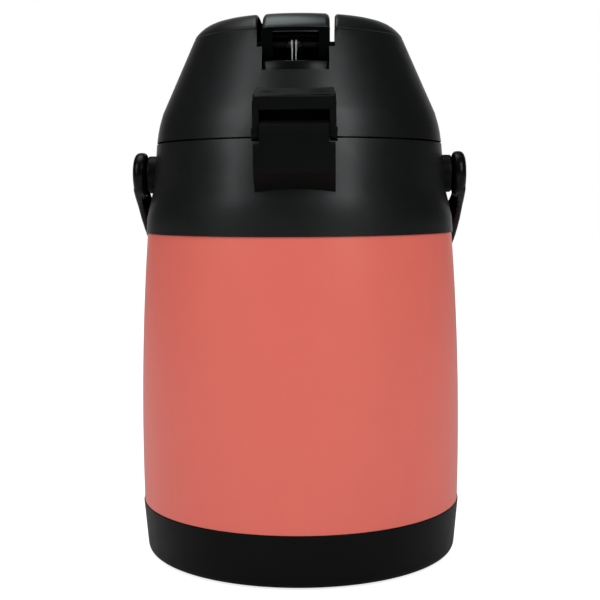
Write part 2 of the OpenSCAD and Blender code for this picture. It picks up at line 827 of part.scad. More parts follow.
module pump_head() {
    color(dark) difference() {
        union() {
            translate([0, 0, head_flange_z]) cylinder(r = head_flange_r, h = head_flange_t);
            translate([0, 0, head_flange_z]) cylinder(r = stem_r, h = stem_top_z - head_flange_z);
            translate([0, 0, head_flange_z]) cylinder(r = button_r, h = head_top_z - head_flange_z);
        }
        translate([0, 0, head_flange_z - 1]) cylinder(r = stem_r - 2, h = stem_top_z - head_flange_z - 1);
    }
}

module inlet_valve() {
    color(silicone) translate([0, 0, stem_top_z - 4.2]) cylinder(r = 6, h = 2.2);
}

module bellows() {
    h = head_flange_z - bellows_low_z;
    folds = [
        for (i = [0:2 * bellows_folds])
            [i % 2 == 0 ? bellows_in_r : bellows_r, bellows_low_z + h * i / (2 * bellows_folds)]
    ];
    color(rubber) turned(concat(folds, reversed(inward(folds, bellows_t))));
}

module bellows_spring() {
    low = bellows_low_z + spring_wire;
    color(steel) coil(spring_r, spring_wire, low, head_flange_z - spring_wire, 5);
}

// ---------- latch ----------

module latch_button() {
    outside = [for (p = lid_side) [p[0] + 0.5, p[1]]];
    color(black) difference() {
        union() {
            difference() {
                intersection() {
                    block([-latch_half, 60, latch_low_z], [latch_half, 80, 226.6]);
                    turned(concat([[0, lid_low_z]], outside, [[0, dome_z]]));
                }
                turned(concat([[0, lid_low_z - 1]], inward(lid_side, 1.9), [[0, dome_z]]));
            }
            intersection() {
                across(latch_arm, [
                    [latch_y - 2, latch_z - 2], [latch_y - 2, latch_z + 2], [69, latch_z + 2],
                    [70.4, 218], [66, 218]
                ]);
                turned(concat([[0, lid_low_z]], lid_side, [[0, dome_z]]));
            }
            across(latch_leg, [
                [64.6, 204.9], [64.6, latch_z], [66.6, latch_z], [66.6, catch_z - gap],
                [68.6, catch_z - gap], [69.2, catch_z - gap - 0.6], [68, 204.9]
            ]);
        }
        bar(latch_pin_r + fit, -30, 30, latch_y, latch_z);
    }
}

module latch_pin() {
    color(steel) bar(latch_pin_r, -13.5, 13.5, latch_y, latch_z);
}

module latch_spring() {
    color(steel) translate([0, latch_spring_far, latch_spring_z]) rotate([-90, 0, 0])
        coil(latch_spring_r, latch_spring_wire, gap, latch_spring_h, 4);
}

module latch_catch() {
    color(steel) block([-8, 67.8, catch_z], [8, 69.9, catch_z + 1.4]);
}

// ---------- drawing ----------

outer_shell();
inner_vessel();
shell_bottom();
getter_cap();
base_cup();
turntable_screw();
turntable();
foot_pad();
collar();
neck_ring();
mouth_seal();
dip_tube();
tube_seal();
spout_pipe();
spout_hood();
spout_plate();
nozzle();
hinge_bracket();
hinge_pin();
hinge_screws();
latch_catch();
handle_pins();
carry_handle();
lid_cover();
lever_well();
lid_base();
lid_gasket();
lid_screws();
hinge_hood();
air_valve();
lever_pin();
lever_spring();
bellows();
bellows_spring();
latch_pin();
latch_spring();
pump_lever();
lock_slide();
pump_head();
inlet_valve();
latch_button();
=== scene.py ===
"""Visual model of a lever pump pot: a coral steel body between a black base ring and a black
collar, a hinged lid with its lever, a spout, a folding carry handle and the pump inside.

Lengths are in millimetres and angles in degrees, and only the studio's are in metres. A face is
chosen by its middle and its normal. Shape stands for a mesh that is open for changes.
"""

import logging
import math
from collections.abc import Callable, Iterator, Sequence
from contextlib import contextmanager
from dataclasses import dataclass
from enum import Enum

import bmesh
import bpy
from mathutils import Euler, Matrix, Vector


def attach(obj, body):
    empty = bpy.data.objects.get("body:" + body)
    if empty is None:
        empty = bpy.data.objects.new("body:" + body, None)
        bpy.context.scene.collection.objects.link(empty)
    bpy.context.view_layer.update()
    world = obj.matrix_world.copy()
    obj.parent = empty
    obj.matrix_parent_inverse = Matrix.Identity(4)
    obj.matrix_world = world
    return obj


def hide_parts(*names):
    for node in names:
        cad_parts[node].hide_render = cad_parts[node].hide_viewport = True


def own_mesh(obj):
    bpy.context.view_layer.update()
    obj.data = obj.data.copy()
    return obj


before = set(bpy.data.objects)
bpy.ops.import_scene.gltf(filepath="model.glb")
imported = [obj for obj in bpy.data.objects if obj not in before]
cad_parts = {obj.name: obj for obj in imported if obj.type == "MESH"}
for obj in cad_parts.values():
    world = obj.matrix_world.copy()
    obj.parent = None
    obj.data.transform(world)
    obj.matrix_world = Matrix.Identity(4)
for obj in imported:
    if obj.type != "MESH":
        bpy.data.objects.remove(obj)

Point = tuple[float, float]
Point3 = tuple[float, float, float]
Colour = tuple[float, float, float]
Chooser = Callable[[Vector, Vector], bool]
Piece = bpy.types.Object
Mesh = bpy.types.Mesh
Socket = bpy.types.NodeSocket
Shape = bmesh.types.BMesh
Face = bmesh.types.BMFace
Ring = list[bmesh.types.BMVert]

MM = 0.001
WELD = 0.002 * MM
CUT_SLACK = 0.001 * MM
EVEN = (1.0, 1.0, 1.0)
WHITE = (1.0, 1.0, 1.0, 1.0)
PIVOT_Z = 194.6
CREASE_R, CREASE_Z, CREASE_SLOPE = 52.6, 263.2, 0.445
CONE_R, CONE_Z, CONE_SLOPE = 69.6, 225.0, 0.439
DOME_R = 52.0
SEAM_R, SEAM_FROM, SEAM_DROP = 73.0, 66.0, 0.45
ACROSS = Vector((1.0, 0.0, 0.0))
UP = Vector((0.0, 0.0, 1.0))
log = logging.getLogger("pump_pot")


# ---------- finishes ----------


@dataclass(frozen=True)
class Layers:
    """The noise that makes a grain: waves per metre of a fine layer and of a coarse one."""

    fine: float
    detail: float
    fine_share: float = 1.0
    coarse: float = 0.0
    stretch: Point3 = EVEN


class Grain(Enum):
    """How the surface of a moulded or rolled piece is textured."""

    POLISHED = Layers(700.0, 1.0)
    SPARK = Layers(4200.0, 3.0, 0.8, 1500.0)
    ORANGE_PEEL = Layers(5200.0, 2.0, 0.55, 900.0)
    BRUSHED_ROUND = Layers(260.0, 4.0, stretch=(1.0, 1.0, 40.0))
    BRUSHED_ALONG = Layers(900.0, 4.0, stretch=(0.05, 1.0, 1.0))


class Wiring:
    """Adds and links nodes in the tree of a material or of the world."""

    def __init__(self, owner: bpy.types.Material | bpy.types.World) -> None:
        """Clears the tree and makes its output.

        Args:
            owner: The material or world to wire.
        """
        owner.use_nodes = True
        self.tree = owner.node_tree
        self.tree.nodes.clear()
        kind = "OutputWorld" if isinstance(owner, bpy.types.World) else "OutputMaterial"
        self.surface = self.add(kind).inputs["Surface"]

    def add(self, kind: str, data_type: str = "", **inputs: object) -> bpy.types.Node:
        """Adds one node.

        Args:
            kind: The node type's name, as it goes on after ShaderNode.
            data_type: What the node works on, if it can work on several types.
            inputs: Values for its sockets or sockets to link. Underscores stand for spaces.

        Returns:
            The new node.
        """
        node = self.tree.nodes.new("ShaderNode" + kind)
        if data_type:
            node.data_type = data_type
        for key, value in inputs.items():
            self.feed(node.inputs[key.replace("_", " ")], value)
        return node

    def feed(self, socket: Socket, value: object) -> None:
        """Links a socket to another one or sets its value.

        Args:
            socket: The input socket.
            value: An output socket, a number or a tuple.
        """
        if isinstance(value, Socket):
            self.tree.links.new(value, socket)
        else:
            socket.default_value = value

    def maths(self, operation: str, first: object, second: object) -> Socket:
        """Adds a maths node.

        Args:
            operation: Blender's name for the operation.
            first: First value or socket.
            second: Second value or socket.

        Returns:
            The result's socket.
        """
        node = self.add("Math")
        node.operation = operation
        self.feed(node.inputs[0], first)
        self.feed(node.inputs[1], second)
        return node.outputs[0]

    def noise(self, scale: float, detail: float, stretch: Point3 = EVEN) -> Socket:
        """Adds a noise texture in the object's own coordinates.

        Args:
            scale: Waves per metre.
            detail: Number of finer layers.
            stretch: Scale of the coordinates along x, y and z.

        Returns:
            The noise's socket, 0 to 1.
        """
        where = self.add("TexCoord").outputs["Object"]
        if stretch != EVEN:
            where = self.add("Mapping", Vector=where, Scale=stretch).outputs["Vector"]
        return self.add("TexNoise", Vector=where, Scale=scale, Detail=detail).outputs["Fac"]

    def seen(self) -> Socket:
        """Gives 1 for rays that come from the camera or through clear plastic, otherwise 0."""
        rays = self.add("LightPath").outputs
        return self.maths("MAXIMUM", rays["Is Camera Ray"], rays["Is Transmission Ray"])


# A colour mixer's sockets go by number, as it has some with the same name.
MIX_SHARE, MIX_LOW, MIX_HIGH, MIX_COLOUR = 0, 6, 7, 2
CLOUDS = (55.0, 3.0)
SMUDGES = (120.0, 4.0)
SMUDGE_CHANGE = 0.12
BUMP_STRENGTH = 0.6
SUBSURFACE_REACH = 1.5


@dataclass(frozen=True)
class Finish:
    """A surface finish: its colour, gloss and fine relief."""

    name: str
    slot: str
    colour: Colour
    roughness: float
    specular: float
    relief: float
    shade_change: float
    grain: Grain = Grain.SPARK
    metallic: float = 0.0
    clearness: float = 0.0
    subsurface: float = 0.0
    tint: Colour = EVEN

    def grain_height(self, wiring: Wiring) -> Socket:
        """Wires the fine relief.

        Args:
            wiring: The material's nodes.

        Returns:
            The height's socket.
        """
        layers = self.grain.value
        fine = wiring.noise(layers.fine, layers.detail, layers.stretch)
        if not layers.coarse:
            return fine
        share = wiring.maths("MULTIPLY", fine, layers.fine_share)
        return wiring.maths("ADD", share, wiring.noise(layers.coarse, 1.0))

    def shade(self, share: float) -> tuple[float, ...]:
        """Gives the colour multiplied by a share, with its alpha."""
        return (*(min(part * share, 1.0) for part in self.colour), 1.0)

    def material(self) -> bpy.types.Material:
        """Makes the finish's material, once.

        Returns:
            The material.
        """
        known = bpy.data.materials.get(self.name)
        if known is not None:
            return known
        made = bpy.data.materials.new(self.name)
        wiring = Wiring(made)
        low, high = self.shade(1.0 - self.shade_change), self.shade(1.0 + self.shade_change)
        mixed = wiring.add("Mix", "RGBA")
        clouds = wiring.noise(*CLOUDS)
        for place, value in ((MIX_SHARE, clouds), (MIX_LOW, low), (MIX_HIGH, high)):
            wiring.feed(mixed.inputs[place], value)
        rough = wiring.add(
            "MapRange",
            Value=wiring.noise(*SMUDGES),
            To_Min=self.roughness * (1.0 - SMUDGE_CHANGE),
            To_Max=min(self.roughness * (1.0 + SMUDGE_CHANGE), 1.0),
        )
        height = self.grain_height(wiring)
        bump = wiring.add("Bump", Strength=BUMP_STRENGTH, Distance=self.relief * MM, Height=height)
        surface = wiring.add(
            "BsdfPrincipled",
            Base_Color=mixed.outputs[MIX_COLOUR],
            Metallic=self.metallic,
            Roughness=rough.outputs["Result"],
            Normal=bump.outputs["Normal"],
            Specular_IOR_Level=self.specular,
            Specular_Tint=(*self.tint, 1.0),
            Transmission_Weight=self.clearness,
            Subsurface_Weight=self.subsurface,
            Subsurface_Scale=SUBSURFACE_REACH * MM,
        )
        wiring.feed(wiring.surface, surface.outputs["BSDF"])
        return made


CORAL_ENAMEL = Finish(
    "coral_enamel", "coral_paint", (0.72, 0.134, 0.101), 0.36, 0.56, 0.012, 0.03, Grain.ORANGE_PEEL
)
SATIN_BLACK = Finish(
    "satin_black_moulding", "black_plastic", (0.001, 0.0012, 0.0013), 0.4, 0.42, 0.014, 0.25,
    tint=(0.95, 0.99, 1.0),
)
BASE_BLACK = Finish(
    "fine_black_moulding", "black_plastic", (0.0022, 0.0025, 0.0025), 0.42, 0.09, 0.014, 0.25
)
LEVER_BLACK = Finish(
    "smooth_black_moulding", "black_plastic", (0.002, 0.0025, 0.0028), 0.36, 0.75, 0.008, 0.2,
    tint=(0.82, 0.97, 1.0),
)
HANDLE_BLACK = Finish(
    "handle_black_moulding", "black_plastic", (0.0012, 0.0015, 0.0016), 0.3, 0.15, 0.008, 0.25
)
MATT_BLACK = Finish(
    "matt_black_moulding", "dark_plastic", (0.0018, 0.002, 0.002), 0.55, 0.03, 0.02, 0.25
)
# Painted shade: a black that reflects nothing, laid where shade falls: in recesses, under the
# lever, on the slot's walls, in the hood's groove and on the handle's inner faces.
SHADE_BLACK = Finish(
    "painted_shade_moulding", "dark_plastic", (0.0018, 0.002, 0.002), 0.7, 0.0, 0.02, 0.25
)
LIP_BLACK = Finish(
    "polished_black_moulding", "dark_plastic", (0.002, 0.0024, 0.0026), 0.3, 0.13, 0.006, 0.2,
    Grain.POLISHED,
)
RED_MARK = Finish(
    "coral_lock_moulding", "dark_plastic", (0.62, 0.13, 0.1), 0.38, 0.5, 0.014, 0.05
)
BLACK_RUBBER = Finish("black_rubber", "rubber", (0.016, 0.016, 0.017), 0.62, 0.3, 0.03, 0.2)
BRUSHED_STEEL = Finish(
    "brushed_steel", "steel", (0.55, 0.56, 0.57), 0.3, 0.5, 0.008, 0.08, Grain.BRUSHED_ROUND, 1.0
)
TURNED_STEEL = Finish(
    "turned_steel_pin", "steel", (0.6, 0.61, 0.62), 0.25, 0.5, 0.006, 0.08, Grain.BRUSHED_ALONG, 1.0
)
# A near-black steel that hardly reflects, for the hinge pin and the lever's pin.
NEAR_BLACK_STEEL = Finish(
    "near_black_steel_pin", "steel", (0.004, 0.004, 0.0045), 0.5, 0.02, 0.006, 0.15,
    Grain.BRUSHED_ALONG,
)
# Painted shade: a near-black copy of the spring's wire for its coil, which sits in shade under the
# lever.
SHADED_COIL_WIRE = Finish(
    "coil_wire_painted_shade", "spring_steel", (0.022, 0.023, 0.025), 0.3, 0.5, 0.006, 0.06,
    Grain.POLISHED, 1.0,
)
# Painted light: a paler grey copy of the same wire for the spring's legs, which catch the light.
PALE_LEG_WIRE = Finish(
    "leg_wire_painted_light", "spring_steel", (0.27, 0.28, 0.29), 0.42, 0.5, 0.006, 0.06,
    Grain.POLISHED, 0.25,
)
BRIGHT_WIRE = Finish(
    "bright_drawn_wire", "spring_steel", (0.62, 0.63, 0.65), 0.2, 0.5, 0.006, 0.06,
    Grain.POLISHED, 1.0,
)
MILKY_SILICONE = Finish(
    "milky_silicone", "silicone", (0.72, 0.74, 0.73), 0.5, 0.5, 0.01, 0.04, Grain.POLISHED,
    subsurface=0.35,
)
CLEAR_TUBE = Finish(
    "clear_moulded_tube", "clear_plastic", (0.8, 0.84, 0.85), 0.18, 0.5, 0.01, 0.03,
    Grain.POLISHED, clearness=0.6,
)


# ---------- shaping ----------

BEVEL_STEPS = 2
BEVEL_ANGLE = 32.0
NORMAL_WEIGHT = 60
CREASE_ANGLE = 40.0
AXIS_R = 1e-4
COIL_STEPS = 32
WIRE_STEPS = 4
ROUND_STEPS = 256
# How near two measures have to be to count as the same.
NEAR = 0.01
SHARE_SLACK = 0.001
ROUND_SLACK = 0.02
SEAM_SLACK = 0.1
CREASE_SLACK, CREASE_SLACK_R = 0.05, 0.25
# How far up the faces on the dome's sloping outside look, and how far a wall looks to the side.
DOME_TILT = (0.1, 0.8)
SIDEWAYS = 0.9


def rounded(points: Sequence[Point], radii: dict[int, float], steps: int) -> list[Point]:
    """Rounds chosen corners of a closed outline with arcs.

    Args:
        points: Corners.
        radii: Radius for each rounded corner's index.
        steps: Pieces of each arc.

    Returns:
        The new outline.
    """
    out: list[Point] = []
    for i, here in enumerate(points):
        if i not in radii:
            out.append(here)
            continue
        corner = Vector(here)
        to_last = Vector(points[i - 1]) - corner
        to_next = Vector(points[(i + 1) % len(points)]) - corner
        reach = radii[i] / math.tan(to_last.angle(to_next) / 2)
        reach = min(reach, 0.49 * to_last.length, 0.49 * to_next.length)
        start = corner + to_last.normalized() * reach
        end = corner + to_next.normalized() * reach
        for k in range(steps + 1):
            t = k / steps
            pull = (1 - t) * (1 - t) * start + 2 * t * (1 - t) * corner + t * t * end
            out.append((pull.x, pull.y))
    return out


def placed(name: str, data: bpy.types.ID) -> Piece:
    """Puts a new object into the scene.

    Args:
        name: The object's name.
        data: Its mesh, curve, lamp or camera.

    Returns:
        The new object.
    """
    made = bpy.data.objects.new(name, data)
    bpy.context.scene.collection.objects.link(made)
    return made


def shade_plain(mesh: Mesh) -> None:
    """Shades a mesh smooth, without the normals that it came with.

    Args:
        mesh: The mesh.
    """
    mesh.polygons.foreach_set("use_smooth", [True] * len(mesh.polygons))
    if "custom_normal" in mesh.attributes:
        mesh.attributes.remove(mesh.attributes["custom_normal"])


@contextmanager
def opened(mesh: Mesh) -> Iterator[Shape]:
    """Opens a mesh for changes and writes them back at the end.

    Args:
        mesh: The mesh.

    Returns:
        A context that gives the open mesh.
    """
    shape = bmesh.new()
    shape.from_mesh(mesh)
    yield shape
    shape.to_mesh(mesh)
    shape.free()


def object_from(name: str, shape: Shape) -> Piece:
    """Turns a bmesh into an object in the scene, smooth shaded.

    Args:
        name: The piece's name.
        shape: The mesh, which is freed.

    Returns:
        The new object.
    """
    bmesh.ops.recalc_face_normals(shape, faces=shape.faces)
    mesh = bpy.data.meshes.new(name)
    shape.to_mesh(mesh)
    shape.free()
    shade_plain(mesh)
    return placed(name, mesh)


def circle(
    shape: Shape, radius: float, steps: int, place: Callable[[float, float], Point3]
) -> Ring:
    """Adds the points of a circle, or one point many times over at the axis.

    Args:
        shape: The mesh.
        radius: The circle's radius.
        steps: Number of points.
        place: Gives where a point of the flat circle lies in space.

    Returns:
        The points.
    """
    if radius < AXIS_R:
        return [shape.verts.new(place(0.0, 0.0))] * steps
    turns = [math.tau * k / steps for k in range(steps)]
    return [shape.verts.new(place(radius * math.cos(t), radius * math.sin(t))) for t in turns]


def skin(shape: Shape, rings: Sequence[Ring], ends: bool) -> None:
    """Joins closed rings of points with faces.

    Args:
        shape: The mesh.
        rings: The rings, with the same number of points each.
        ends: True if the first and the last ring get a face each.
    """
    for low, high in zip(rings, rings[1:]):
        for k in range(len(low)):
            n = (k + 1) % len(low)
            corners = list(dict.fromkeys((low[k], low[n], high[n], high[k])))
            if len(corners) > 2:
                shape.faces.new(corners)
    if ends:
        shape.faces.new(rings[0])
        shape.faces.new(rings[-1])


def mark_sharp(piece: Piece, angle: float) -> None:
    """Marks edges sharper than an angle, so that the shading breaks there.

    Args:
        piece: The piece.
        angle: The angle.
    """
    with opened(piece.data) as shape:
        for edge in shape.edges:
            if len(edge.link_faces) == 2 and edge.calc_face_angle() > math.radians(angle):
                edge.smooth = False


def revolve(
    name: str, outline: Sequence[Point], segments: int = ROUND_STEPS, crease: float = CREASE_ANGLE
) -> Piece:
    """Turns a closed outline round the pot's axis.

    Args:
        name: The piece's name.
        outline: Corners as (radius, height).
        segments: Steps round the axis.
        crease: Edges sharper than this many degrees stay crisp.

    Returns:
        The turned piece.
    """
    shape = bmesh.new()
    rings = [
        circle(shape, radius, segments, lambda x, y, z=height: (x * MM, y * MM, z * MM))
        for radius, height in outline
    ]
    skin(shape, [*rings, rings[0]], ends=False)
    made = object_from(name, shape)
    mark_sharp(made, crease)
    return made


def baked(piece: Piece) -> Mesh:
    """Gives the mesh of an object with its modifiers applied.

    Args:
        piece: The object.

    Returns:
        A new mesh.
    """
    graph = bpy.context.evaluated_depsgraph_get()
    graph.update()
    return bpy.data.meshes.new_from_object(piece.evaluated_get(graph))


def wire(name: str, points: Sequence[Point3], radius: float) -> Piece:
    """Bends a round wire through points.

    Args:
        name: The piece's name.
        points: Points of the wire's axis.
        radius: Half the wire's thickness.

    Returns:
        The wire as a mesh.
    """
    curve = bpy.data.curves.new(name, "CURVE")
    curve.dimensions = "3D"
    curve.bevel_depth = radius * MM
    curve.bevel_resolution = WIRE_STEPS
    curve.use_fill_caps = True
    spline = curve.splines.new("POLY")
    spline.points.add(len(points) - 1)
    for slot, place in zip(spline.points, points, strict=True):
        slot.co = (*(part * MM for part in place), 1.0)
    holder = placed(name + "_axis", curve)
    mesh = baked(holder)
    bpy.data.objects.remove(holder)
    bpy.data.curves.remove(curve)
    mesh.name = name
    shade_plain(mesh)
    return placed(name, mesh)


def helix(radius: float, start: float, end: float, turns: int) -> list[Point3]:
    """Gives the points of a coil round the z axis.

    Args:
        radius: Radius of the coil.
        start: Where the coil starts along its axis.
        end: Where it ends.
        turns: Number of turns.

    Returns:
        The coil's points.
    """
    steps = turns * COIL_STEPS
    points = []
    for i in range(steps + 1):
        angle, share = math.tau * i / COIL_STEPS, i / steps
        spot = (radius * math.cos(angle), radius * math.sin(angle), start + (end - start) * share)
        points.append(spot)
    return points


def soften(piece: Piece, edge: float) -> None:
    """Breaks the sharp edges of a piece and shades it smooth.

    Args:
        piece: The piece.
        edge: Width of the broken edge.
    """
    shade_plain(piece.data)
    weld = piece.modifiers.new("weld", "WELD")
    weld.merge_threshold = WELD
    bevel = piece.modifiers.new("edge", "BEVEL")
    bevel.width = edge * MM
    bevel.segments = BEVEL_STEPS
    bevel.limit_method = "ANGLE"
    bevel.angle_limit = math.radians(BEVEL_ANGLE)
    bevel.use_clamp_overlap = True
    bevel.miter_outer = "MITER_ARC"
    normals = piece.modifiers.new("normals", "WEIGHTED_NORMAL")
    normals.keep_sharp = True
    normals.weight = NORMAL_WEIGHT


def dress(piece: Piece, finish: Finish) -> None:
    """Gives a piece its finish.

    Args:
        piece: The piece.
        finish: The finish.
    """
    piece.data.materials.clear()
    piece.data.materials.append(finish.material())


def fit(piece: Piece, body: str, finish: Finish, *nodes: str) -> None:
    """Dresses a new piece, rides it on its body and lets it stand for frame nodes.

    Args:
        piece: The new piece.
        body: Name of the body that it moves with.
        finish: The finish.
        nodes: Frame nodes that it stands for.
    """
    dress(piece, finish)
    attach(piece, body)
    if nodes:
        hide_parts(*nodes)
    log.info("%s rides on %s", piece.name, body)


def redress(piece: Piece, finish: Finish, chosen: Chooser) -> None:
    """Gives some faces of a dressed piece a second finish.

    Args:
        piece: The piece.
        finish: The second finish.
        chosen: Tells from a face's middle and its normal if it gets that finish.
    """
    piece.data.materials.append(finish.material())
    index = len(piece.data.materials) - 1
    for face in piece.data.polygons:
        if chosen(face.center / MM, face.normal):
            face.material_index = index


def keep(finish: Finish, *nodes: str, edge: float) -> None:
    """Keeps frame nodes as visible pieces with broken edges and a finish.

    Args:
        finish: The finish.
        nodes: The nodes' names.
        edge: Width of their broken edges.
    """
    for node in nodes:
        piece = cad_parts[node]
        soften(piece, edge)
        dress(piece, finish)
        log.info("%s is kept from the frame", node)


def copied(node: str, name: str) -> Piece:
    """Makes a new piece with a welded copy of a frame node's mesh.

    Args:
        node: The node's name.
        name: The new piece's name.

    Returns:
        The new piece.
    """
    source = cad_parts[node]
    mesh = source.data.copy()
    mesh.name = name
    shade_plain(mesh)
    mesh.transform(source.matrix_world)
    with opened(mesh) as shape:
        bmesh.ops.remove_doubles(shape, verts=shape.verts, dist=WELD)
    return placed(name, mesh)


def slice_across(shape: Shape, faces: list[Face], spot: Vector, across: Vector) -> None:
    """Cuts faces in two along a plane and keeps both sides.

    Args:
        shape: The mesh.
        faces: The faces that the plane may cut.
        spot: A point of the plane.
        across: The plane's normal.
    """
    around = dict.fromkeys(part for face in faces for part in (*face.edges, *face.verts))
    bmesh.ops.bisect_plane(
        shape, geom=[*faces, *around], dist=CUT_SLACK, plane_co=spot, plane_no=across
    )


@dataclass(frozen=True)
class EdgeLine:
    """A straight edge, seen from above, that a surface is rounded off towards."""

    start: Point
    end: Point
    radius: float
    lowest: float
    steps: int = 5

    def run(self) -> Vector:
        """Gives the way along the edge."""
        return Vector((self.end[0] - self.start[0], self.end[1] - self.start[1], 0.0))

    def inward(self) -> Vector:
        """Gives the direction from the edge into the surface."""
        run = self.run().normalized()
        return Vector((-run.y, run.x, 0.0))

    def way_to(self, place: Vector) -> Vector:
        """Gives the way from the edge's start to a point."""
        return place / MM - Vector((*self.start, 0.0))

    def between(self, place: Vector) -> bool:
        """Tells if a point lies between the edge's ends, measured along it."""
        share = self.way_to(place).dot(self.run()) / self.run().length_squared
        return -SHARE_SLACK <= share <= 1.0 + SHARE_SLACK

    def tops(self, shape: Shape) -> list[Face]:
        """Gives the faces of the upper surface near the edge.

        Args:
            shape: The mesh.

        Returns:
            Faces that look up and lie above the lowest height that counts.
        """
        found = []
        for face in shape.faces:
            middle = face.calc_center_median()
            if face.normal.z > 0.2 and middle.z > self.lowest * MM and self.between(middle):
                found.append(face)
        return found

    def round_off(self, piece: Piece) -> None:
        """Rounds the upper surface of a piece off towards the edge.

        Args:
            piece: The piece.
        """
        with opened(piece.data) as shape:
            for k in range(self.steps):
                inside = self.radius * (1.0 - math.sin(0.5 * math.pi * k / self.steps))
                spot = (Vector((*self.start, 0.0)) + self.inward() * inside) * MM
                slice_across(shape, self.tops(shape), spot, self.inward())
            for vert in {v for f in self.tops(shape) for v in f.verts}:
                depth = self.way_to(vert.co).dot(self.inward())
                if -ROUND_SLACK < depth < self.radius and self.between(vert.co):
                    rest = self.radius - max(depth, 0.0)
                    level = math.sqrt(max(self.radius**2 - rest**2, 0.0))
                    vert.co.z -= (self.radius - level) * MM


def lower_crease(piece: Piece, drop: float) -> None:
    """Moves the crease between the lid's cone and dome down along the cone.

    Args:
        piece: A piece of the lid's surface.
        drop: How far down.
    """
    for vert in piece.data.vertices:
        x, y, z = vert.co / MM
        radius = math.hypot(x, y)
        if abs(z - CREASE_Z) < CREASE_SLACK and abs(radius - CREASE_R) < CREASE_SLACK_R:
            share = 1.0 + CREASE_SLOPE * drop / radius
            vert.co = Vector((x * share, y * share, z - drop)) * MM


def lower_seam(piece: Piece, rim_z: float) -> None:
    """Bows the parting line between the collar and the lid down a little towards its sides.

    Args:
        piece: The piece on one side of the line.
        rim_z: Height of that piece's rim.
    """
    for vert in piece.data.vertices:
        x, y, z = vert.co / MM
        if abs(z - rim_z) < SEAM_SLACK and math.hypot(x, y) > SEAM_FROM:
            vert.co.z = (z - SEAM_DROP - SEAM_DROP * (x / SEAM_R) ** 2) * MM


def dome_sides(shape: Shape) -> list[Face]:
    """Gives the faces on the sloping outside of the lid's dome.

    Args:
        shape: The mesh.

    Returns:
        Faces that look outwards and a little up.
    """
    found = []
    low, high = DOME_TILT
    for face in shape.faces:
        middle, normal = face.calc_center_median(), face.normal
        distance = math.hypot(middle.x, middle.y)
        outward = (normal.x * middle.x + normal.y * middle.y) / max(distance, 1e-6)
        if distance > DOME_R * MM and outward > 0.5 and low < normal.z < high:
            found.append(face)
    return found


def cut_groove(piece: Piece, low: float, high: float, depth: float) -> None:
    """Cuts a fine V groove round the foot of the lid's dome.

    Args:
        piece: The piece.
        low: Height of the groove's lower edge.
        high: Height of its upper edge.
        depth: Its depth.
    """
    middle = 0.5 * (low + high)
    with opened(piece.data) as shape:
        for height in (low, middle, high):
            slice_across(shape, dome_sides(shape), Vector((0.0, 0.0, height * MM)), UP)
        for vert in {v for f in dome_sides(shape) for v in f.verts}:
            if abs(vert.co.z / MM - middle) < NEAR:
                share = 1.0 - depth * MM / math.hypot(vert.co.x, vert.co.y)
                vert.co.x *= share
                vert.co.y *= share


# ---------- sub-assemblies ----------


@dataclass
class SteelBody:
    """The double steel vessel with its coral outer shell."""

    belly_r: float = 82.3
    belly_z: float = 60.0
    taper: float = 0.00037
    foot_z: float = 11.0
    low_z: float = 27.0
    top_z: float = 165.0
    step_in: float = 2.9
    shelf_r: float = 76.0
    shoulder_r: float = 46.0
    shoulder_z: float = 168.0
    shoulder_out: float = 30.0
    shoulder_up: float = 20.0
    neck_r: float = 43.0
    neck_z: float = 191.0
    mouth_z: float = 196.0
    wall: float = 1.0
    shoulder_wall: float = 0.9
    shoulder_step: int = 9
    rings: int = 46

    def radius(self, height: float) -> float:
        """Gives the shell's outer radius at a height."""
        return self.belly_r - self.taper * (height - self.belly_z) ** 2

    def inside_r(self) -> float:
        """Gives the radius of the step that the base ring goes over."""
        return self.radius(self.low_z) - self.step_in

    def shell_outline(self) -> list[Point]:
        """Gives the shell's closed outline.

        Returns:
            Corners as (radius, height).
        """
        inside, wall, neck = self.inside_r(), self.wall, self.neck_r
        rise = (self.top_z - self.low_z) / self.rings
        levels = [self.low_z + rise * i for i in range(self.rings + 1)]
        side = [(self.radius(z), z) for z in levels]
        shoulder = [
            (self.shoulder_r + self.shoulder_out * math.cos(math.radians(a)),
             self.shoulder_z + self.shoulder_up * math.sin(math.radians(a)))
            for a in range(0, 91, self.shoulder_step)
        ]
        return [
            (inside, self.foot_z), (inside, self.low_z), *side, (self.shelf_r, self.top_z),
            *shoulder, (neck, self.neck_z), (neck, self.mouth_z),
            (neck - wall, self.mouth_z), (neck - wall, self.neck_z),
            *((r - self.shoulder_wall, z - wall) for r, z in reversed(shoulder)),
            (self.shelf_r - wall, self.top_z - wall),
            *((r - wall, z) for r, z in reversed(side[1:-1])),
            (inside - wall, self.low_z + wall), (inside - wall, self.foot_z),
        ]

    def build(self) -> None:
        """Builds and dresses the shell, the vessel and the parts under them."""
        shell = revolve("coral_shell", self.shell_outline())
        fit(shell, "pot", CORAL_ENAMEL, "outer_shell")
        keep(BRUSHED_STEEL, "inner_vessel", "shell_bottom", "getter_cap", edge=0.2)


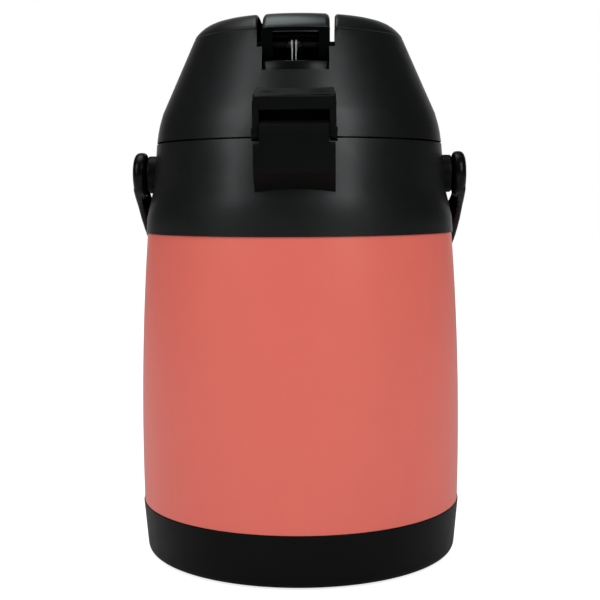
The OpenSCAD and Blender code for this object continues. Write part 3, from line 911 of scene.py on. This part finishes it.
@dataclass
class BaseRing:
    """The black base ring with the turntable and pad under it."""

    top_r: float = 82.4
    top_z: float = 26.95
    foot_in: float = 1.9
    low_z: float = 0.8
    recess_r: float = 72.5
    recess_z: float = 5.6
    floor_t: float = 2.0
    boss_r: float = 8.0
    boss_z: float = 3.2
    rounds: tuple[float, ...] = (0.4, 5.8, 0.5, 0.3)
    round_steps: int = 10
    gap: float = 0.1

    def outline(self) -> list[Point]:
        """Gives the ring's closed outline.

        Returns:
            Corners as (radius, height).
        """
        body = SteelBody()
        side_r, inner_r = body.radius(body.low_z) - self.foot_in, body.inside_r() + self.gap
        floor_z = self.recess_z + self.floor_t
        corners = [
            (self.recess_r, self.low_z), (side_r, self.low_z), (self.top_r, self.top_z),
            (inner_r, self.top_z), (inner_r, floor_z), (0.0, floor_z), (0.0, self.boss_z),
            (self.boss_r, self.boss_z), (self.boss_r, self.recess_z),
            (self.recess_r, self.recess_z),
        ]
        return rounded(corners, dict(enumerate(self.rounds)), self.round_steps)

    def build(self) -> None:
        """Builds and dresses the ring, the turntable, the pad and the screw."""
        fit(revolve("base_ring", self.outline()), "pot", BASE_BLACK, "base_cup")
        keep(BRUSHED_STEEL, "turntable_screw", edge=0.3)
        keep(MATT_BLACK, "turntable", edge=0.4)
        keep(BLACK_RUBBER, "foot_pad", edge=0.2)


@dataclass
class Collar:
    """The moulded collar, the neck ring and seals inside it, and the dip tube."""

    wall: float = 3.4
    skin_out: float = 0.3
    rim_z: float = 210.5
    boss_r: float = 9.75
    boss_rim_r: float = 9.0
    boss_from: float = 72.0
    boss_face: float = 78.3
    boss_round: float = 1.4
    boss_round_steps: int = 4
    boss_rim: float = 0.4
    boss_tilt: float = 0.85
    waist_from: float = 30.0
    waist_over: float = 35.0
    waist_rings: tuple[Point3, ...] = (
        (165.0, 78.9, 0.0), (173.0, 78.7, 0.35), (179.5, 78.2, 1.35), (187.0, 76.9, 1.9),
        (203.0, 74.2, 0.8), (210.5, 72.9, 0.0),
    )

    def is_rim(self, vert: bmesh.types.BMVert) -> bool:
        """Tells if a point is on the rim of a boss's face."""
        x, y, z = vert.co / MM
        return abs(abs(x) - self.boss_face) < NEAR and math.hypot(y, z - PIVOT_Z) > self.boss_rim_r

    def is_boss(self, middle: Vector, normal: Vector) -> bool:
        """Tells if a face is on one of the bosses that carry the handle.

        Args:
            middle: The face's middle.
            normal: Its normal.

        Returns:
            True if it is on a boss.
        """
        x, near = abs(middle.x), math.hypot(middle.y, middle.z - PIVOT_Z) < self.boss_r
        side_on = x > self.boss_face - self.boss_rim or abs(normal.x) < self.boss_tilt
        return near and x > self.boss_from and side_on

    def waist(self, collar: Piece) -> None:
        """Draws the collar in a little at both sides, between its foot and its top.

        Args:
            collar: The collar.
        """
        for vert in collar.data.vertices:
            x, y, z = vert.co / MM
            for low, high in zip(self.waist_rings, self.waist_rings[1:]):
                share = (z - low[0]) / (high[0] - low[0])
                radius = low[1] + (high[1] - low[1]) * share
                if 0.0 <= share < 1.0 and -self.wall < math.hypot(x, y) - radius < self.skin_out:
                    side = min(max((abs(x) - self.waist_from) / self.waist_over, 0.0), 1.0)
                    left = 1.0 - (low[2] + (high[2] - low[2]) * share) * side / radius
                    vert.co.x *= left
                    vert.co.y *= left
                    break

    def build(self) -> None:
        """Dresses the collar and what it holds."""
        collar = copied("collar", "collar_moulding")
        self.waist(collar)
        lower_seam(collar, self.rim_z)
        with opened(collar.data) as shape:
            rims = [edge for edge in shape.edges if all(map(self.is_rim, edge.verts))]
            width, steps = self.boss_round * MM, self.boss_round_steps
            bmesh.ops.bevel(
                shape, geom=rims, offset=width, segments=steps, profile=0.5, affect="EDGES"
            )
        soften(collar, edge=0.35)
        fit(collar, "pot", SATIN_BLACK, "collar")
        redress(collar, BASE_BLACK, self.is_boss)
        keep(MATT_BLACK, "neck_ring", edge=0.4)
        keep(MILKY_SILICONE, "mouth_seal", "tube_seal", edge=0.2)
        keep(CLEAR_TUBE, "dip_tube", edge=0.1)
        keep(BRUSHED_STEEL, "latch_catch", edge=0.15)


@dataclass
class Spout:
    """The spout's hood, its lower plate, the pipe and the nozzle."""

    def build(self) -> None:
        """Dresses the spout."""
        keep(SATIN_BLACK, "spout_hood", edge=0.9)
        keep(SATIN_BLACK, "spout_plate", edge=0.3)
        keep(CLEAR_TUBE, "spout_pipe", edge=0.1)
        keep(MATT_BLACK, "nozzle", edge=0.3)


@dataclass
class RearHinge:
    """The knuckle bracket on the collar and the hood on the lid."""

    cone_r: float = 65.9
    top_low_z: float = 228.7
    top_from_z: float = 228.0
    half_width: int = 16
    strip: int = 4
    rear_y: float = -83.0
    rear_z: float = 228.8
    slope: float = 0.26
    groove: float = 1.3
    groove_depth: float = 0.9
    groove_low_z: float = 229.5
    near_y: float = -65.5
    far_y: float = -68.5
    edge_out: float = 0.45
    cone_slack: float = 0.12
    flat_angle: float = 0.5

    def cone_y(self, x: float) -> float:
        """Gives where the lid's cone stands behind the hood's top at a distance from the middle."""
        return -math.sqrt(self.cone_r**2 - x**2)

    def away(self, x: float, y: float, z: float) -> float:
        """Gives how far from the lid a point of the hood's top is to stand.

        Args:
            x: The point's place across the hood.
            y: Its place along the hood.
            z: Its height.

        Returns:
            0 at the lid, the groove's width at its far edge, or less than 0 behind the groove.
        """
        half, cone_y = 0.5 * self.groove, self.cone_y(x)
        if abs(math.hypot(x, y) - CONE_R + (z - CONE_Z) * CONE_SLOPE) < self.cone_slack:
            return 0.0
        if y > self.near_y - NEAR:
            return half * min(max((cone_y - y) / (cone_y - self.near_y), 0.0), 1.0)
        if y > self.far_y - NEAR:
            return half + half * (self.near_y - y) / (self.near_y - self.far_y)
        return -1.0

    def slope_top(self, hood: Piece) -> None:
        """Gives the hood one sloping top with a fine groove along the lid.

        Args:
            hood: The hood.
        """
        with opened(hood.data) as shape:
            seams = [
                edge for edge in shape.edges
                if all(vert.co.z > self.top_low_z * MM for vert in edge.verts)
                and all(face.normal.z > 0.5 for face in edge.link_faces)
                and edge.calc_face_angle(1.0) < math.radians(self.flat_angle)
            ]
            bmesh.ops.dissolve_edges(shape, edges=seams, use_verts=False)
            for x in range(-self.half_width, self.half_width + 1, self.strip):
                slice_across(shape, list(shape.faces), Vector((x * MM, 0.0, 0.0)), ACROSS)
            for vert in shape.verts:
                x, y, z = vert.co / MM
                if z < self.top_low_z:
                    continue
                away = self.away(x, y, z)
                if away >= 0.0:
                    y = self.cone_y(x) - away
                elif abs(y - self.rear_y) < NEAR:
                    y -= self.edge_out
                level = self.rear_z + (y - self.rear_y) * self.slope
                if away >= 0.0:
                    level -= self.groove_depth * (1.0 - away / self.groove)
                vert.co.y, vert.co.z = y * MM, level * MM

    def is_groove(self, middle: Vector, normal: Vector) -> bool:
        """Tells if a face is in the groove between the hood's top and the lid, which gets painted
        shade.
        """
        behind = middle.y <= self.cone_y(middle.x) - self.groove
        return normal.z > 0.0 and middle.z > self.groove_low_z and not behind

    def is_top(self, middle: Vector, normal: Vector) -> bool:
        """Tells if a face is on the hood's sloping top."""
        behind = middle.y <= self.cone_y(middle.x) - self.groove
        return normal.z > 0.8 and middle.z > self.top_from_z and behind

    def build(self) -> None:
        """Dresses the hinge."""
        keep(BASE_BLACK, "hinge_bracket", edge=0.5)
        keep(NEAR_BLACK_STEEL, "hinge_pin", edge=0.3)
        keep(BRUSHED_STEEL, "hinge_screws", edge=0.3)
        hood = copied("hinge_hood", "lid_hinge_hood")
        self.slope_top(hood)
        soften(hood, edge=0.25)
        fit(hood, "lid", BASE_BLACK, "hinge_hood")
        redress(hood, SATIN_BLACK, self.is_top)
        # The groove along the lid gets painted shade, standing in for its shadow.
        redress(hood, SHADE_BLACK, self.is_groove)


@dataclass
class CarryHandle:
    """The folding bail handle and the pins that it turns on."""

    half: float = 85.3
    reach: float = 126.0
    squareness: float = 2.6
    strap_half: float = 9.0
    strap_t: float = 6.5
    grip_t: float = 9.0
    root_half: float = 11.3
    root_reach: float = 11.0
    neck_t: float = 2.7
    neck_at: float = 19.0
    neck_reach: float = 18.0
    corner_r: float = 1.1
    corner_steps: int = 6
    strap_steps: int = 150
    hub_r: float = 11.5
    hub_in: float = 78.6
    hub_out: float = 85.6
    hub_shoulder: float = 82.3
    hub_round: Point = (2.0, 2.2)
    hub_turns: tuple[float, ...] = (0.0, 20.0, 45.0, 70.0)
    hub_shares: tuple[float, ...] = (1.0, 0.985, 0.95, 0.9, 0.83, 0.74, 0.6, 0.4, 0.0)
    hub_bulge: int = 5
    hub_steps: int = 64
    drop: float = 40.5
    voxel: float = 0.6
    smooth_rounds: int = 12

    def curve(self, half: float, reach: float, angle: float) -> Vector:
        """Gives a point of the handle's squared bow.

        Args:
            half: Half the bow's width.
            reach: Its reach.
            angle: Place on the bow, 0 at the right pivot and pi at the left one.

        Returns:
            The point in the handle's own plane.
        """
        c, s = math.cos(angle), max(math.sin(angle), 0.0)
        power = 2.0 / self.squareness
        return Vector((math.copysign(abs(c) ** power, c) * half, reach * s**power, 0.0))

    def section(self, half_t: float, half_w: float) -> list[Point]:
        """Gives the strap's section, a rectangle with rounded corners.

        Args:
            half_t: Half its thickness.
            half_w: Half its width.

        Returns:
            Points as (outward, across).
        """
        points = []
        for corner, (side_a, side_b) in enumerate(((1, 1), (1, -1), (-1, -1), (-1, 1))):
            for k in range(self.corner_steps):
                share = k / (self.corner_steps - 1)
                turn = 0.5 * math.pi * (share if corner % 2 else 1.0 - share)
                out = half_t - self.corner_r * (1.0 - math.cos(turn))
                along = half_w - self.corner_r * (1.0 - math.sin(turn))
                points.append((side_a * out, side_b * along))
        return points

    def strap(self, shape: Shape) -> None:
        """Adds the strap with its rounded section.

        Args:
            shape: The mesh it is added to, in the handle's own plane.
        """
        rings = []
        for i in range(self.strap_steps + 1):
            angle = math.pi * i / self.strap_steps
            outer = self.curve(self.half, self.reach, angle)
            inner = self.curve(self.half - self.strap_t, self.reach - self.grip_t, angle)
            away = (outer - inner).normalized()
            root = math.exp(-((outer.y / self.root_reach) ** 2))
            neck = math.exp(-(((outer.y - self.neck_at) / self.neck_reach) ** 4))
            half_t = 0.5 * ((outer - inner).length - self.neck_t * neck)
            half_w = self.strap_half + (self.root_half - self.strap_half) * root
            middle = outer - away * half_t
            corners = self.section(half_t, half_w)
            rings.append(
                [shape.verts.new(middle + away * a + Vector((0.0, 0.0, b))) for a, b in corners]
            )
        skin(shape, rings, ends=True)

    def hub(self, shape: Shape, side: int) -> None:
        """Adds one hub, domed outside and rounded at its rim.

        Args:
            shape: The mesh it is added to.
            side: 1 for the right hub, -1 for the left one.
        """
        profile = [(self.hub_in, 0.0)]
        for turn in self.hub_turns:
            t, (deep, high) = math.radians(turn), self.hub_round
            profile.append(
                (self.hub_in + deep * (1 - math.cos(t)), self.hub_r - high * (1 - math.sin(t)))
            )
        for share in self.hub_shares:
            bulge = (self.hub_out - self.hub_shoulder) * math.sqrt(1.0 - share**self.hub_bulge)
            profile.append((self.hub_shoulder + bulge, self.hub_r * share))
        rings = [
            circle(shape, radius, self.hub_steps, lambda y, z, x=side * out: (x, y, z))
            for out, radius in profile
        ]
        skin(shape, rings, ends=False)

    def is_inner(self, middle: Vector, normal: Vector) -> bool:
        """Tells if a face of the handle looks towards the pot's middle plane, where it gets painted
        shade.
        """
        return middle.x * normal.x < 0.0 and abs(normal.x) > 0.8

    def melt(self, handle: Piece) -> None:
        """Melts the hubs and the strap into one smooth moulding.

        Args:
            handle: The handle.
        """
        remesh = handle.modifiers.new("melt", "REMESH")
        remesh.mode = "VOXEL"
        remesh.voxel_size = self.voxel * MM
        remesh.use_smooth_shade = True
        smooth = handle.modifiers.new("smooth", "SMOOTH")
        smooth.factor = 0.5
        smooth.iterations = self.smooth_rounds
        rough, handle.data = handle.data, baked(handle)
        handle.modifiers.clear()
        bpy.data.meshes.remove(rough)

    def build(self) -> None:
        """Builds and dresses the handle."""
        keep(BRUSHED_STEEL, "handle_pins", edge=0.3)
        shape = bmesh.new()
        self.strap(shape)
        for side in (1, -1):
            self.hub(shape, side)
        turn = Matrix.Rotation(math.radians(-self.drop), 4, "X")
        place = Matrix.Translation((0.0, 0.0, PIVOT_Z * MM)) @ turn @ Matrix.Scale(MM, 4)
        bmesh.ops.transform(shape, matrix=place, verts=shape.verts)
        handle = object_from("bail_handle", shape)
        self.melt(handle)
        fit(handle, "handle", HANDLE_BLACK, "carry_handle")
        # The faces turned towards the collar get painted shade.
        redress(handle, SHADE_BLACK, self.is_inner)


@dataclass
class PumpLid:
    """The lid's cover, inner plate, lever well, seals and screws."""

    slot_half: float = 18.35
    slot_reach: float = 60.0
    slot_round: float = 1.7
    round_low_z: float = 262.0
    rim_z: float = 211.3
    crease: Point = (261.6, 262.5)
    crease_drop: float = 0.6
    crease_depth: float = 0.45
    lip_r: float = 36.0
    lip_y: float = -60.4
    lip_half: float = 15.6
    lip_low_z: float = 242.05
    lip_top_z: float = 246.4
    lip_lean: float = 0.9
    lip_t: float = 1.2
    lip_steps: int = 32
    lip_bend: float = 0.92
    lip_round: Point = (0.35, 0.5)
    lip_crisp: float = 50.0
    lip_over: float = 0.3
    lip_behind: float = 1.0
    rear_from: float = -50.0
    inside_weight: float = 40.0
    wall_size: Point3 = (37.0, 1.6, 9.4)
    wall_place: Point3 = (0.0, -37.6, 249.9)

    def lip_at(self, x: float) -> float:
        """Gives how far back the well's lip reaches at a distance from the middle."""
        return self.lip_y + self.lip_r - math.sqrt(self.lip_r**2 - x**2)

    def well(self) -> Piece:
        """Makes the well under the lever with its cross wall.

        Returns:
            The well.
        """
        well = copied("lever_well", "lever_well_tray")
        for vert in well.data.vertices:
            x, y, z = vert.co / MM
            rear = y < self.rear_from and z < self.lip_top_z + 0.1
            if rear and abs(x) < self.lip_half + 0.2:
                vert.co.y = max(y, self.lip_at(x) + self.lip_behind) * MM
                vert.co.z = min(z, self.lip_top_z - self.lip_over) * MM
        place = Matrix.Translation(Vector(self.wall_place) * MM)
        size = Matrix.Diagonal((*(Vector(self.wall_size) * MM), 1.0))
        with opened(well.data) as shape:
            bmesh.ops.create_cube(shape, size=1.0, matrix=place @ size)
        soften(well, edge=0.25)
        return well

    def lip(self) -> Piece:
        """Makes the curved lip at the rear of the well.

        Returns:
            The lip.
        """
        shape = bmesh.new()
        rows = []
        low, top, lean, thick = self.lip_low_z, self.lip_top_z, self.lip_lean, self.lip_t
        round_y, round_z = self.lip_round
        for i in range(self.lip_steps + 1):
            x = self.lip_half * (2.0 * i / self.lip_steps - 1.0)
            y = self.lip_at(x)
            section = (
                (y, low), (y + lean * self.lip_bend, top - round_z),
                (y + lean + round_y, top), (y + lean + thick, top), (y + thick, low),
            )
            rows.append([shape.verts.new((x * MM, a * MM, b * MM)) for a, b in section])
        skin(shape, rows, ends=True)
        made = object_from("well_lip", shape)
        mark_sharp(made, self.lip_crisp)
        return made

    def is_inside(self, middle: Vector, normal: Vector) -> bool:
        """Tells if a face is a slot wall or looks into the lid, where the cover gets painted shade.
        """
        outward = middle.x * normal.x + middle.y * normal.y + self.inside_weight * normal.z
        return outward < 0.0 or (abs(normal.x) > SIDEWAYS and abs(middle.x) < self.slot_half + 0.1)

    def cover(self) -> Piece:
        """Makes the cover with its rounded slot and the fine groove round its dome.

        Returns:
            The cover.
        """
        cover = copied("lid_cover", "lid_shell")
        half, reach = self.slot_half, self.slot_reach
        for start, end in (((-half, -reach), (-half, reach)), ((half, reach), (half, -reach))):
            EdgeLine(start, end, self.slot_round, self.round_low_z).round_off(cover)
        lower_crease(cover, self.crease_drop)
        lower_seam(cover, self.rim_z)
        cut_groove(cover, *self.crease, self.crease_depth)
        soften(cover, edge=0.4)
        return cover

    def build(self) -> None:
        """Builds and dresses the lid."""
        cover = self.cover()
        fit(cover, "lid", SATIN_BLACK, "lid_cover")
        # The slot's walls and the cover's inside get painted shade.
        redress(cover, SHADE_BLACK, self.is_inside)
        # The whole well under the lever is dressed in painted shade.
        fit(self.well(), "lid", SHADE_BLACK, "lever_well")
        fit(self.lip(), "lid", LIP_BLACK)
        keep(MATT_BLACK, "lid_base", edge=0.3)
        keep(MILKY_SILICONE, "lid_gasket", edge=0.3)
        keep(BRUSHED_STEEL, "lid_screws", edge=0.2)
        keep(MILKY_SILICONE, "air_valve", edge=0.2)


@dataclass
class LidLatch:
    """The latch button in the lid's front with its pin and spring."""

    coil_r: float = 1.1
    spring_z: float = 217.2
    spring_from: float = 57.8
    spring_to: float = 62.8
    turns: int = 4
    wire_r: float = 0.3

    def build(self) -> None:
        """Dresses the latch."""
        keep(SATIN_BLACK, "latch_button", edge=0.4)
        keep(TURNED_STEEL, "latch_pin", edge=0.2)
        coil = helix(self.coil_r, self.spring_from, self.spring_to, self.turns)
        coil = [(a, y, self.spring_z + b) for a, b, y in coil]
        spring = wire("latch_return_spring", coil, self.wire_r)
        fit(spring, "lid", BRIGHT_WIRE, "latch_spring")


@dataclass
class PumpLever:
    """The lever, its pin, its spring and the lock slide."""

    pin_y: float = -50.0
    pin_z: float = 254.4
    rear_half: float = 16.2
    rear_y: float = -58.0
    front_half: float = 14.6
    front_y: float = 50.0
    edge_round: float = 2.2
    round_low_z: float = 260.5
    crease_drop: float = 0.6
    band_cut: Point = (260.6, 260.7)
    band: Point = (260.65, 262.58)
    ear: Point = (10.5, 15.8)
    ear_reach: float = 0.8
    ear_half: float = 16.1
    ear_side: float = 15.0
    ear_length: float = 4.2
    band_from_y: float = -45.0
    blade_low_z: float = 260.0
    blade_front_y: float = 40.0
    blade_rim: float = 0.3
    under_tilt: float = -0.3
    spring_x: float = -0.8
    leg_x: float = 0.92
    leg_low_z: float = 246.6
    leg_slack: float = 0.5
    leg_behind: float = 1.3
    coil_r: float = 2.3
    coil_width: float = 2.2
    coil_step: float = 15.0
    coil_steps: int = 72
    coil_flat: int = 6
    wire_r: float = 0.42

    def build(self) -> None:
        """Builds and dresses the lever and what moves with it."""
        lever = self.lever()
        fit(lever, "lever", LEVER_BLACK, "pump_lever")
        # The underside, the ears and the strip below the rear band get painted shade.
        redress(lever, SHADE_BLACK, self.is_under)
        keep(RED_MARK, "lock_slide", edge=0.3)
        keep(NEAR_BLACK_STEEL, "lever_pin", edge=0.2)
        spring = wire("lever_torsion_spring", self.spring_axis(), self.wire_r)
        # One wire in two finishes: the coil painted dark for shade, the legs paler for light.
        fit(spring, "lid", SHADED_COIL_WIRE, "lever_spring")
        redress(spring, PALE_LEG_WIRE, self.is_leg)

    def lever(self) -> Piece:
        """Makes the lever with its rounded upper edges and its ears.

        Returns:
            The lever.
        """
        lever = copied("pump_lever", "lever_paddle")
        lower_crease(lever, self.crease_drop)
        # A groove of no depth only slices the faces, so that the strip under the rear band can take
        # painted shade.
        cut_groove(lever, *self.band_cut, 0.0)
        left = (-self.front_half, self.front_y), (-self.rear_half, self.rear_y)
        right = (self.rear_half, self.rear_y), (self.front_half, self.front_y)
        for start, end in (left, right):
            EdgeLine(start, end, self.edge_round, self.round_low_z).round_off(lever)
        for vert in lever.data.vertices:
            x, y, z = vert.co / MM
            near = abs(y - self.pin_y) < self.ear_length and z < self.round_low_z
            if near and self.ear[0] < abs(x) < self.ear[1]:
                vert.co.z = (z - max(self.pin_z - z, 0.0) * self.ear_reach) * MM
                if abs(x) > self.ear_side:
                    vert.co.x = math.copysign(self.ear_half, x) * MM
        soften(lever, edge=0.4)
        return lever

    def half_at(self, y: float) -> float:
        """Gives half the lever's width at a place along it."""
        share = (self.front_y - y) / (self.front_y - self.rear_y)
        return self.front_half + (self.rear_half - self.front_half) * share

    def is_rear(self, middle: Vector) -> bool:
        """Tells if a face is on the strip of painted shade under the lever's rear band."""
        return middle.y < self.band_from_y and self.band[0] < middle.z < self.band[1]

    def is_under(self, middle: Vector, normal: Vector) -> bool:
        """Tells if a face of the lever is under it or on its ears, where it gets painted shade.

        Args:
            middle: The face's middle.
            normal: Its normal.

        Returns:
            True if the face gets painted shade.
        """
        low = middle.z < self.blade_low_z and middle.y < self.blade_front_y
        within = abs(middle.x) < self.half_at(middle.y) - self.blade_rim
        dull = within and (low or abs(normal.x) > SIDEWAYS)
        return dull or normal.z < self.under_tilt or self.is_rear(middle)

    def is_leg(self, middle: Vector, normal: Vector) -> bool:
        """Tells if a face of the spring is on one of its legs, which get the paler painted light.
        """
        near = abs(middle.x - self.spring_x) < self.leg_x + self.leg_slack
        return near and middle.y < self.pin_y - self.leg_behind

    def spring_axis(self) -> list[Point3]:
        """Gives the axis of the two-legged torsion spring on the lever's pin.

        Returns:
            Points of the wire.
        """
        back = self.pin_y - self.coil_r
        right = [(self.leg_x, back, self.leg_low_z), (self.leg_x, back, self.pin_z)]
        rising = self.coil_steps - self.coil_flat
        for i in range(1, self.coil_steps + 1):
            angle = math.radians(180.0 - i * self.coil_step)
            x = self.leg_x + max(i - self.coil_flat, 0) * self.coil_width / rising
            y, z = self.coil_r * math.cos(angle), self.coil_r * math.sin(angle)
            right.append((x, self.pin_y + y, self.pin_z + z))
        left = [(-x, y, z) for x, y, z in reversed(right)]
        return [(x + self.spring_x, y, z) for x, y, z in left + right]


@dataclass
class PumpWorks:
    """The pump head, its valve, the bellows and the spring in them."""

    low_z: float = 215.6
    top_z: float = 238.0
    travel: float = 8.9
    fold_in_r: float = 24.0
    fold_out_r: float = 28.0
    folds: int = 6
    wall: float = 1.0
    coil_r: float = 12.0
    coil_end: float = 0.75
    coil_turns: int = 5
    wire_r: float = 0.7
    fold_steps: int = 12
    round_steps: int = 128
    crisp: float = 60.0

    def bellows_outline(self) -> list[Point]:
        """Gives the bellows' closed outline with rounded folds.

        Returns:
            Corners as (radius, height).
        """
        steps = self.folds * self.fold_steps
        rise = (self.top_z - self.low_z) / steps
        mid, reach = (self.fold_in_r + self.fold_out_r) / 2, (self.fold_out_r - self.fold_in_r) / 2
        wave = [
            (mid - reach * math.cos(math.tau * i / self.fold_steps), self.low_z + rise * i)
            for i in range(steps + 1)
        ]
        return wave + [(r - self.wall, z) for r, z in reversed(wave)]

    def build(self) -> None:
        """Builds and dresses the pump."""
        keep(MATT_BLACK, "pump_head", edge=0.4)
        keep(MILKY_SILICONE, "inlet_valve", edge=0.2)
        outline = self.bellows_outline()
        bellows = revolve("folded_bellows", outline, self.round_steps, self.crisp)
        fit(bellows, "lid", BLACK_RUBBER, "bellows")
        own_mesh(bellows)
        low, top = self.low_z + self.coil_end, self.top_z - self.coil_end
        coil = helix(self.coil_r, low, top, self.coil_turns)
        spring = wire("pump_return_spring", coil, self.wire_r)
        fit(spring, "lid", BRIGHT_WIRE, "bellows_spring")
        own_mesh(spring)


# ---------- studio ----------


@dataclass(frozen=True)
class Softbox:
    """A soft rectangular lamp that faces the pot, in metres and in degrees from the camera."""

    name: str
    azimuth: float
    elevation: float
    size: Point
    watts: float
    reach: float = 1.3
    aim_z: float = 0.16

    def hang(self) -> None:
        """Hangs the lamp."""
        data = bpy.data.lights.new(self.name, "AREA")
        data.shape = "RECTANGLE"
        data.size, data.size_y = self.size
        data.energy = self.watts
        made = placed(self.name, data)
        a, e = math.radians(self.azimuth), math.radians(self.elevation)
        away = Vector((math.sin(a) * math.cos(e), -math.cos(a) * math.cos(e), math.sin(e)))
        made.location = Vector((0.0, 0.0, self.aim_z)) + away * self.reach
        made.rotation_euler = away.to_track_quat("Z", "Y").to_euler()


@dataclass
class Studio:
    """The camera, the pale floor, the soft lamps and the room's light, in metres."""

    distance: float = 0.6244
    height: float = 0.1853
    azimuth: float = 1.5
    pitch: float = 5.135
    roll: float = -0.3
    lens_mm: float = 72.0
    sensor_mm: float = 36.0
    room: float = 0.56
    gloss_room: float = 0.048
    backdrop: Point = (0.81, 0.97)
    floor_half: float = 4.0
    floor_grey: float = 0.6
    floor_glow: float = 0.78
    lamps: tuple[Softbox, ...] = (
        Softbox("left_softbox", -51.0, 33.0, (0.3, 0.8), 5.0),
        Softbox("right_softbox", 36.0, 33.0, (0.3, 0.8), 6.6),
        Softbox("top_softbox", 225.0, 76.0, (0.8, 0.8), 4.6),
    )

    def camera(self) -> None:
        """Makes the camera that looks at the hinge side."""
        data = bpy.data.cameras.new("camera")
        data.lens = self.lens_mm
        data.sensor_width = self.sensor_mm
        made = placed("camera", data)
        turn = math.radians(self.azimuth)
        made.location = (
            self.distance * math.sin(turn), -self.distance * math.cos(turn), self.height
        )
        aim = Euler((math.pi / 2 - math.radians(self.pitch), 0.0, turn)).to_matrix()
        roll = Matrix.Rotation(math.radians(self.roll), 3, "Z")
        made.rotation_euler = (aim @ roll).to_euler()
        bpy.context.scene.camera = made

    def world(self) -> None:
        """Gives the room a dim even light behind a white background."""
        world = bpy.data.worlds.new("room")
        bpy.context.scene.world = world
        wiring = Wiring(world)
        way = wiring.add("TexCoord").outputs["Generated"]
        ahead = wiring.add("SeparateXYZ", Vector=way).outputs["Y"]
        low, high = self.backdrop
        mirrored = wiring.add(
            "MapRange", Value=ahead, From_Min=low, From_Max=high, To_Min=self.gloss_room
        )
        change = wiring.maths("SUBTRACT", mirrored.outputs["Result"], self.room)
        glossy = wiring.add("LightPath").outputs["Is Glossy Ray"]
        level = wiring.maths("ADD", wiring.maths("MULTIPLY", glossy, change), self.room)
        level = wiring.maths("MAXIMUM", level, wiring.seen())
        glow = wiring.add("Background", Color=WHITE, Strength=level)
        wiring.feed(wiring.surface, glow.outputs[0])

    def floor(self) -> None:
        """Lays the pale floor, which keeps a soft shadow of the pot."""
        shape = bmesh.new()
        bmesh.ops.create_grid(shape, x_segments=8, y_segments=8, size=self.floor_half)
        made = object_from("studio_floor", shape)
        material = bpy.data.materials.new("pale_floor")
        wiring = Wiring(material)
        grey = self.floor_grey
        matt = wiring.add("BsdfDiffuse", Color=(grey, grey, grey, 1.0))
        strength = wiring.maths("MULTIPLY", wiring.seen(), self.floor_glow)
        glow = wiring.add("Emission", Color=WHITE, Strength=strength)
        both = wiring.add("AddShader")
        for socket, part in zip(both.inputs, (matt, glow)):
            wiring.feed(socket, part.outputs[0])
        wiring.feed(wiring.surface, both.outputs[0])
        made.data.materials.append(material)

    def build(self) -> None:
        """Makes the whole studio."""
        self.camera()
        self.world()
        self.floor()
        for lamp in self.lamps:
            lamp.hang()


def main() -> None:
    """Builds the studio and the pot."""
    logging.basicConfig(level=logging.INFO, format="%(message)s")
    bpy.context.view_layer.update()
    bpy.context.scene.view_settings.view_transform = "Standard"
    Studio().build()
    for part in (
        SteelBody(), BaseRing(), Collar(), Spout(), RearHinge(), CarryHandle(), PumpLid(),
        LidLatch(), PumpLever(), PumpWorks(),
    ):
        part.build()
        log.info("%s is built", type(part).__name__)


if __name__ == "__main__":
    main()
